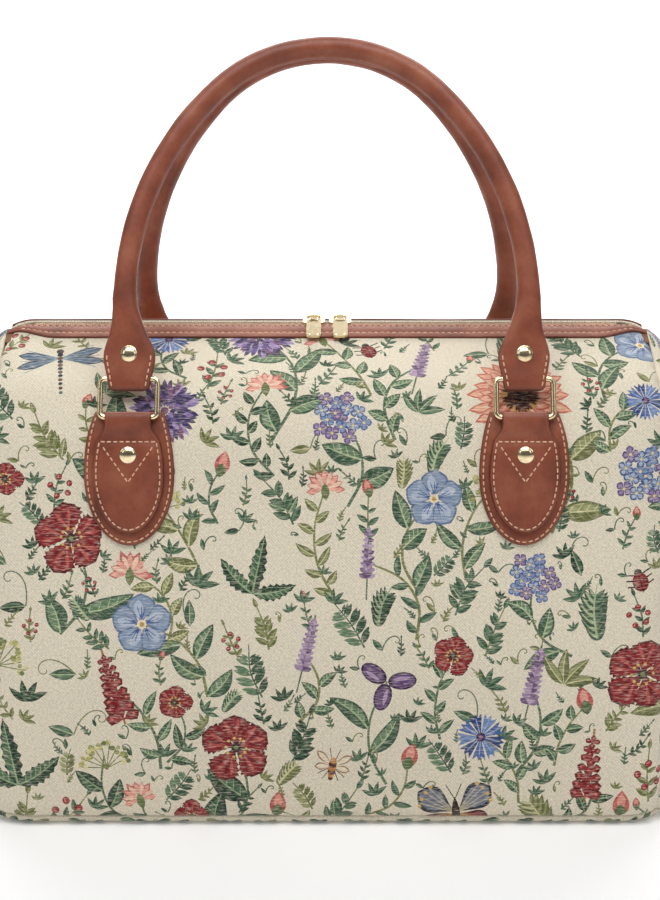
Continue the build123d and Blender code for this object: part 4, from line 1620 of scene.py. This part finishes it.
def side_print(facing):
    return Garden(sizes().print_seed + facing, SIDE_HALF, panel_length(facing) - 10).plant(FLOWERS)


def end_print(side):
    return Garden(sizes().print_seed + 10 + side, END_HALF, panel_length(-1) - 14).plant(FLOWERS)


def base_print():
    """Small growth round the turned-up edge; the rest of the base is plain."""
    loom = Loom(sizes().print_seed + 20)
    for k in range(41):
        for y in (-92, 92):
            foot = complex(-220 + 11 * k, y)
            tip = foot + turned(loom.chance.uniform(15, 165)) * 14
            loom.leaf(foot, tip, 6, loom.chance.choice(GREENS)[0])
    return loom.shapes


# --- woven panels ---
CLOTH_THICK = 1.5
GRID = 5.0


def inside_rim(points, spacing, holds):
    """Grid places that keep clear of a panel's edge."""
    xs, ys = [p[0] for p in points], [p[1] for p in points]
    found = []
    for i in range(1, int((max(xs) - min(xs)) / spacing)):
        for j in range(1, int((max(ys) - min(ys)) / spacing)):
            x = min(xs) + i * spacing + (spacing / 2 if j % 2 else 0)
            y = min(ys) + j * spacing
            if holds(x, y, spacing * 0.45):
                found.append((x, y))
    return found


def within(points, x, y):
    """Whether a closed outline goes round a place."""
    inside = False
    for (ax, ay), (bx, by) in zip(points, points[1:] + points[:1]):
        if (ay > y) != (by > y) and x < ax + (bx - ax) * (y - ay) / (by - ay):
            inside = not inside
    return inside


STRAIGHT = 0.03  # a bend smaller than this many millimetres is taken as straight


def colour_edges(places, tris, tones):
    """Edges between two colours, which are all that shows of shapes that lie on each other, run straight."""
    beside, joined = {}, {}
    for tri, tone in zip(tris, tones):
        for a, b in zip(tri, tri[1:] + tri[:1]):
            beside.setdefault((min(a, b), max(a, b)), []).append(tone)
    rim = set()
    for edge, both in beside.items():
        if len(both) == 1:
            rim.update(edge)
        if len(both) == 1 or both[0] != both[1]:
            for a, b in (edge, edge[::-1]):
                joined.setdefault(a, set()).add(b)
    for spot in list(joined):
        if spot in rim or len(joined[spot]) != 2:
            continue
        a, b = joined[spot]
        span = places[b] - places[a]
        off = places[spot] - places[a]
        if b in joined[a] or span.length < STRAIGHT:
            continue
        if abs(span.x * off.y - span.y * off.x) / span.length > STRAIGHT:
            continue
        joined[a].remove(spot)
        joined[b].remove(spot)
        joined[a].add(b)
        joined[b].add(a)
        del joined[spot]
    return joined


def drawn(outline, shapes, ground, grid):
    """Triangles of a flat cut with its print, and the colour of each; the last shape lies on top."""
    flat = [Vector(p) for p in outline]
    fields = [list(range(len(flat)))]
    cuts, paints = [outline], [ground]
    for points, colour in shapes:
        fields.append(list(range(len(flat), len(flat) + len(points))))
        flat += [Vector(p) for p in points]
        cuts.append(points)
        paints.append(colour)
    places, edges, tris, where_from, edge_from, face_from = delaunay_2d_cdt(flat, [], fields, 0, 1e-3)
    kept, tones = [], []
    for tri, sources in zip(tris, face_from):
        if 0 in sources:
            x, y = (sum(places[i][axis] for i in tri) / 3 for axis in (0, 1))
            top = next(k for k in sorted(sources, reverse=True) if k == 0 or within(cuts[k], x, y))
            kept.append(tuple(tri))
            tones.append(paints[top])
    joined = colour_edges(places, kept, tones)
    under = BVHTree.FromPolygons([place.to_3d() for place in places], kept)
    number = {old: new for new, old in enumerate(joined)}
    lines = [(number[a], number[b]) for a in joined for b in joined[a] if a < b]
    flat = [places[old] for old in joined] + [Vector(p) for p in grid]
    places, edges, tris, where_from, edge_from, face_from = delaunay_2d_cdt(flat, lines, [], 0, 1e-3)
    found = []
    for tri in tris:
        middle = sum((places[i] for i in tri), Vector((0, 0))) / 3
        found.append(tones[under.find_nearest(middle.to_3d())[2]])
    return places, [tuple(tri) for tri in tris], found


def cloth_panel(name, outline, holds, shapes, ground, surface, body, *nodes):
    """A closed sheet of cloth with its print woven in: each printed shape is a field of faces in its colour.

    outline is the flat cut, holds(x, y, margin) says what is inside it, shapes are (points, colour), the last
    on top, and surface(x, y, depth) brings a flat place to the bag.
    """
    places, tris, tones = drawn(outline, shapes, ground, inside_rim(outline, GRID, holds))
    faces = list(tris)
    raised = [0.0 if tone == ground else 1.0 for tone in tones]
    sides = dict.fromkeys(side for face in faces for side in zip(face, face[1:] + face[:1]))
    rim = {a: b for a, b in sides if (b, a) not in sides}
    loop = [next(iter(rim))]
    while rim[loop[-1]] != loop[0]:
        loop.append(rim[loop[-1]])
    used = sorted({i for face in faces for i in face})
    number = {old: new for new, old in enumerate(used)}
    verts = [surface(places[i].x, places[i].y, 0.0) for i in used]
    flat_places = [places[i] for i in used]
    faces = [tuple(number[i] for i in face) for face in faces]
    # the inside of the cloth: the same edge, a coarse grid
    back = [places[i] for i in loop]
    back_flat = back + [Vector(p) for p in inside_rim(outline, 3 * GRID, holds)]
    back_places, edges, back_tris, back_from, edge_from, back_face_from = delaunay_2d_cdt(
        back_flat, [], [list(range(len(back)))], 0, 1e-4
    )
    start = len(verts)
    verts += [surface(p.x, p.y, CLOTH_THICK) for p in back_places]
    flat_places += back_places
    spot_of = {}
    for new, olds in enumerate(back_from):
        for old in olds:
            if old < len(back):
                spot_of[old] = start + new
    for tri, sources in zip(back_tris, back_face_from):
        if sources:
            faces.append(tuple(start + i for i in reversed(tri)))
            tones.append(ground)
            raised.append(0.0)
    for k in range(len(loop)):
        n = (k + 1) % len(loop)
        a, b = number[loop[k]], number[loop[n]]
        c, d = spot_of.get(n), spot_of.get(k)
        if c is not None and d is not None and c != d:
            faces.append((b, a, d, c))
            tones.append(ground)
            raised.append(0.0)
    thing = link(name, verts, faces, finish_of(JACQUARD))
    mesh = thing.data
    mesh.attributes.new("print", "FLOAT_COLOR", "CORNER")
    mesh.attributes.new("relief", "FLOAT", "CORNER")
    mesh.uv_layers.new(name="cloth")
    shades, reliefs, uvs = [], [], []
    for face, tone, height in zip(faces, tones, raised):
        for i in face:
            shades += tone
            reliefs.append(height)
            uvs += (flat_places[i].x * MM, flat_places[i].y * MM)
    mesh.attributes["print"].data.foreach_set("color", shades)
    mesh.attributes["relief"].data.foreach_set("value", reliefs)
    mesh.uv_layers["cloth"].data.foreach_set("uv", uvs)
    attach(thing, body)
    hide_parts(*nodes)
    return thing


def rectangle(x, low, high, step=2.5):
    """Outline of a rectangle, its edges divided."""
    across, tall = int(2 * x / step), int((high - low) / step)
    points = [(-x + 2 * x * k / across, low) for k in range(across)]
    points += [(x, low + (high - low) * k / tall) for k in range(tall)]
    points += [(x - 2 * x * k / across, high) for k in range(across)]
    return points + [(-x, high - (high - low) * k / tall) for k in range(tall)]


class BAG_OT_side_panels(bpy.types.Operator):
    """The two large woven panels"""

    bl_idname = "holdall.side_panels"
    bl_label = "Side panels"

    def execute(self, context):
        for face, facing in FACES:
            top = panel_length(facing)
            shapes = side_print(facing)

            def holds(x, y, margin):
                return abs(x) < SEAM_X - margin and margin < y < top - margin

            def surface(x, y, depth):
                return skin(facing, x, y, -depth)[0]

            outline = rectangle(SEAM_X, 0.0, top)
            name, node = f"{face}_tapestry", f"{face}_panel"
            tidy(cloth_panel(name, outline, holds, shapes, dye("ground"), surface, "bag", node))
        return {"FINISHED"}


# --- end panels: the cloth turns the corner from each side panel and closes the end ---
END_TOP_INSET = 4.0
END_CUT_HALF = 98.0


def end_loop(s):
    """Half widths front and back, and height of the end panel s above the base seam."""
    (front, up_front), direction = section(-1, s)
    (back, up_back), direction = section(1, s)
    return front, back, (up_front + up_back) / 2


def end_place(side, a, s, depth):
    """Point of an end panel: a runs across it from the front seam, s up from the base seam."""
    front, back, up = end_loop(s)
    corner = min(UPRIGHT_RADIUS, min(front, back) * 0.9)
    far = reach(up)
    seam_lean = math.asin(max(-1.0, min(1.0, (SEAM_X - far + corner) / corner)))
    arc = corner * (math.pi / 2 - seam_lean)
    straight = front + back - 2 * corner
    total = 2 * arc + straight
    along = (a + 1) / 2 * total
    if along < arc or along > total - arc:
        facing, wide, past = (-1, front, along) if along < arc else (1, back, total - along)
        turn = seam_lean + past / corner
        normal = Vector((math.sin(turn), facing * math.cos(turn), 0.0))
        point = Vector((far - corner, facing * (wide - corner), up)) + normal * corner
    else:
        point = Vector((far, -(front - corner) + along - arc, up))
        normal = Vector((1.0, 0.0, 0.0))
    rise = smooth(s, 225, 330) * 0.9 - (0.5 if s < 4 else 0.0)
    normal = (normal + Vector((0, 0, rise))).normalized()
    belly = 2.0 * math.sin(math.pi * min(1.0, s / 300)) * (1 - a * a)
    tuck = -1.5 * math.exp(-((s / 2.2) ** 2)) - 1.5 * math.exp(-(((1 - abs(a)) * total / 2 / 2.5) ** 2))
    wave = sizes().crease / MM * noise.noise(Vector((a * 1.6, s / 70, 5.0 * side))) * smooth(s, 2, 30)
    point += normal * (belly + tuck + wave - depth)
    point.x *= side
    return point


class BAG_OT_end_panels(bpy.types.Operator):
    """The two woven end panels"""

    bl_idname = "holdall.end_panels"
    bl_label = "End panels"

    def execute(self, context):
        top = panel_length(-1) - END_TOP_INSET
        for end, side in ENDS:

            def holds(x, y, margin):
                return abs(x) < END_CUT_HALF - margin and margin < y < top - margin

            def surface(x, y, depth):
                return end_place(side, x / END_CUT_HALF, y, depth)

            shapes = end_print(side)
            outline = rectangle(END_CUT_HALF, 0.0, top)
            name, node = f"{end}_end_tapestry", f"{end}_end_panel"
            tidy(cloth_panel(name, outline, holds, shapes, dye("ground"), surface, "bag", node))
        return {"FINISHED"}


FLAT_X, FLAT_Y, FLAT_CORNER = 216.0, BASE_CENTRE, 29.6


def base_place(x, y, depth):
    """Point of the base panel: flat on the ground, turned up round its edge."""
    near = Vector((max(0.0, abs(x) - FLAT_X + FLAT_CORNER), max(0.0, abs(y) - FLAT_Y + FLAT_CORNER)))
    if near.x > 0 and near.y > 0:
        past = near.length - FLAT_CORNER
        away = near.normalized()
    else:
        past = max(near.x, near.y) - FLAT_CORNER
        away = Vector((1, 0)) if near.x > near.y else Vector((0, 1))
    if past <= 0:
        return Vector((x, y, depth))
    turn = past / BASE_RADIUS
    direction = Vector((math.copysign(away.x, x), math.copysign(away.y, y)))
    foot = Vector((x, y)) - direction * past
    radius = BASE_RADIUS - depth - 1.2 * smooth(turn, 0.75, 1.05)
    place = foot + direction * radius * math.sin(turn)
    return Vector((place.x, place.y, BASE_RADIUS - radius * math.cos(turn)))


class BAG_OT_base_panel(bpy.types.Operator):
    """The woven base, turned up to its seam"""

    bl_idname = "holdall.base_panel"
    bl_label = "Base panel"

    def execute(self, context):
        extra = BASE_RADIUS * (math.pi / 2 - SEAM_TURN)
        corner = FLAT_CORNER + extra
        outline = []
        for cx, cy, first in ((1, -1, -90), (1, 1, 0), (-1, 1, 90), (-1, -1, 180)):
            for k in range(19):
                turn = math.radians(first + 5 * k)
                outline.append(
                    (
                        cx * (FLAT_X - FLAT_CORNER) + corner * math.cos(turn),
                        cy * (FLAT_Y - FLAT_CORNER) + corner * math.sin(turn),
                    )
                )
        divided = []
        for k, (x, y) in enumerate(outline):
            nx, ny = outline[(k + 1) % len(outline)]
            parts = max(1, int(math.hypot(nx - x, ny - y) / 4))
            divided += [(x + (nx - x) * j / parts, y + (ny - y) * j / parts) for j in range(parts)]

        def holds(x, y, margin):
            dx = max(0.0, abs(x) - FLAT_X + FLAT_CORNER)
            dy = max(0.0, abs(y) - FLAT_Y + FLAT_CORNER)
            return math.hypot(dx, dy) < corner - margin

        name, node = "base_tapestry", "base_panel"
        tidy(cloth_panel(name, divided, holds, base_print(), dye("ground"), base_place, "bag", node))
        return {"FINISHED"}


# --- lining ---
LINING_GAP, LINING_THICK = 3.2, 0.5


def patch(heap, place, rows, columns):
    """A sheet of faces; place(u, v) gives a point, both from -1 to 1."""
    verts = []
    for i in range(rows):
        for j in range(columns):
            verts.append(place(2 * j / (columns - 1) - 1, 2 * i / (rows - 1) - 1))
    heap.add(verts, grid_faces(rows, columns))


def lining_floor(u, v):
    """Point of the lining over the base, kept inside its rounded corners."""
    edge = BASE_RADIUS * (math.pi / 2 - SEAM_TURN)
    x, y = u * (FLAT_X + edge), v * (FLAT_Y + edge)
    near = Vector((abs(x) - FLAT_X + FLAT_CORNER, abs(y) - FLAT_Y + FLAT_CORNER))
    if near.x > 0 and near.y > 0 and near.length > FLAT_CORNER + edge:
        near *= (FLAT_CORNER + edge) / near.length
        x = math.copysign(FLAT_X - FLAT_CORNER + near.x, x)
        y = math.copysign(FLAT_Y - FLAT_CORNER + near.y, y)
    return base_place(x, y, LINING_GAP)


class BAG_OT_lining(bpy.types.Operator):
    """The loose bag of lining cloth that hangs from the zip"""

    bl_idname = "holdall.lining"
    bl_label = "Lining"

    def execute(self, context):
        heap = Heap()
        for face, facing in FACES:
            top = panel_length(facing) - 3

            def side_place(u, v):
                return skin(facing, u * SEAM_X, (v + 1) / 2 * top, -LINING_GAP)[0]

            patch(heap, side_place, 40, 40)
        top = panel_length(-1) - END_TOP_INSET
        for end, side in ENDS:
            patch(heap, lambda u, v: end_place(side, u, (v + 1) / 2 * top, LINING_GAP), 40, 20)
        patch(heap, lining_floor, 24, 48)
        thing = heap.link("lining_cloth", finish_of("Woven polyester lining"), "bag", "lining")
        sheet = thing.modifiers.new("sheet", "SOLIDIFY")
        sheet.thickness = LINING_THICK * MM
        sheet.offset = 0.0
        return {"FINISHED"}


# --- the stage ---
class BAG_OT_stage(bpy.types.Operator):
    """White sweep, soft lights and the camera"""

    bl_idname = "holdall.stage"
    bl_label = "Stage"

    def execute(self, context):
        scene = context.scene
        scene.view_settings.view_transform = "Standard"
        camera = bpy.data.objects.new("camera", bpy.data.cameras.new("camera"))
        camera.data.lens = 53.98
        camera.data.sensor_width = 36
        camera.location = (0.002, -0.900, 0.3726)
        camera.rotation_euler = (math.radians(80.82), 0, 0)
        context.collection.objects.link(camera)
        scene.camera = camera

        # a floor that sweeps up into a wall
        profile = [(-6.0, 0.0), (2.2, 0.0)]
        for k in range(1, 13):
            turn = math.pi / 2 * k / 12
            profile.append((2.2 + 1.0 * math.sin(turn), 1.0 - math.cos(turn)))
        profile.append((3.2, 6.0))
        verts = [(x * 1000, y * 1000, z * 1000) for y, z in profile for x in (-7.0, 7.0)]
        paint = material("White painted sweep", painted_sweep)
        sweep = link("sweep", verts, grid_faces(len(profile), 2), paint)

        world = bpy.data.worlds.new("studio")
        scene.world = world
        world.use_nodes = True
        tree = world.node_tree
        tree.nodes.clear()
        where = add(tree, "ShaderNodeTexCoord").outputs["Generated"]
        height = add(tree, "ShaderNodeSeparateXYZ", {"Vector": where}).outputs["Z"]
        height = spread(tree, height, 0.0, 1.0, -0.2, 0.9)
        tone = blend_colour(tree, "MIX", height, linear("#6f6a66"), linear("#ffffff"))
        light = add(tree, "ShaderNodeBackground", {"Color": tone, "Strength": 0.2})
        # seen straight on, past the sweep's edges, the studio is as pale as the sweep
        pale = add(tree, "ShaderNodeBackground", {"Color": linear("#fafafa"), "Strength": 1.0})
        seen = add(tree, "ShaderNodeLightPath").outputs["Is Camera Ray"]
        both = add(tree, "ShaderNodeMixShader", {0: seen, 1: light.outputs[0], 2: pale.outputs[0]})
        add(tree, "ShaderNodeOutputWorld", {"Surface": both.outputs["Shader"]})

        # name, place, point it faces, width, height, watts
        lamps = (
            ("overhead", (0.0, -0.60, 1.40), (0.0, -0.05, 0.28), 1.4, 0.8, 14.8),
            ("left_box", (-1.4, -0.9, 1.15), (0.0, 0.0, 0.30), 0.4, 0.8, 2.2),
            ("right_box", (1.4, -0.9, 1.15), (0.0, 0.0, 0.30), 0.4, 0.8, 2.2),
            ("sweep_wash", (0.0, 2.0, 2.9), (0.0, 3.0, 0.6), 4.0, 0.8, 130.0),
        )
        for name, place, aim, wide, tall, power in lamps:
            data = bpy.data.lights.new(name, "AREA")
            data.shape = "RECTANGLE"
            data.size, data.size_y, data.energy = wide, tall, power
            lamp = bpy.data.objects.new(name, data)
            lamp.location = place
            lamp.rotation_euler = (Vector(aim) - Vector(place)).to_track_quat("-Z", "Y").to_euler()
            context.collection.objects.link(lamp)
        return {"FINISHED"}


def painted_sweep(tree):
    # Matt white paint: plain, and bright enough to read as white; a faint roller mottle.
    tone = blend_colour(tree, "MIX", mottle(tree, own_place(tree), 300), linear("#f4f4f4"), linear("#fafafa"))
    paint = {"Specular IOR Level": 0.1, "Emission Color": linear("#ffffff"), "Emission Strength": 0.12}
    return principled(tree, tone, 0.9, paint)


OPERATORS = (
    BAG_OT_stage,
    BAG_OT_side_panels,
    BAG_OT_end_panels,
    BAG_OT_base_panel,
    BAG_OT_lining,
    BAG_OT_zip_trims,
    BAG_OT_zip_coils,
    BAG_OT_shields,
    BAG_OT_tabs,
    BAG_OT_handles,
    BAG_OT_rivets,
    BAG_OT_frame_finishes,
)


class BAG_PT_holdall(bpy.types.Panel):
    """The holdall's sizes, colours and pieces"""

    bl_idname = "BAG_PT_holdall"
    bl_label = "Tapestry holdall"
    bl_space_type = "VIEW_3D"
    bl_region_type = "UI"
    bl_category = "Holdall"

    def draw(self, context):
        for group in (context.scene.holdall_sizes, context.scene.holdall_colours):
            box = self.layout.box()
            for name in group.bl_rna.properties.keys():
                if name not in ("rna_type", "name"):
                    box.prop(group, name)
        for operator in OPERATORS:
            self.layout.operator(operator.bl_idname)


CLASSES = (HoldallSizes, HoldallColours, *OPERATORS, BAG_PT_holdall)


def register():
    for item in CLASSES:
        bpy.utils.register_class(item)
    bpy.types.Scene.holdall_sizes = PointerProperty(type=HoldallSizes)
    bpy.types.Scene.holdall_colours = PointerProperty(type=HoldallColours)


def unregister():
    del bpy.types.Scene.holdall_colours
    del bpy.types.Scene.holdall_sizes
    for item in reversed(CLASSES):
        bpy.utils.unregister_class(item)


def main():
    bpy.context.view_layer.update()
    register()
    for operator in OPERATORS:
        group, name = operator.bl_idname.split(".")
        getattr(getattr(bpy.ops, group), name)()


if __name__ == "__main__":
    main()
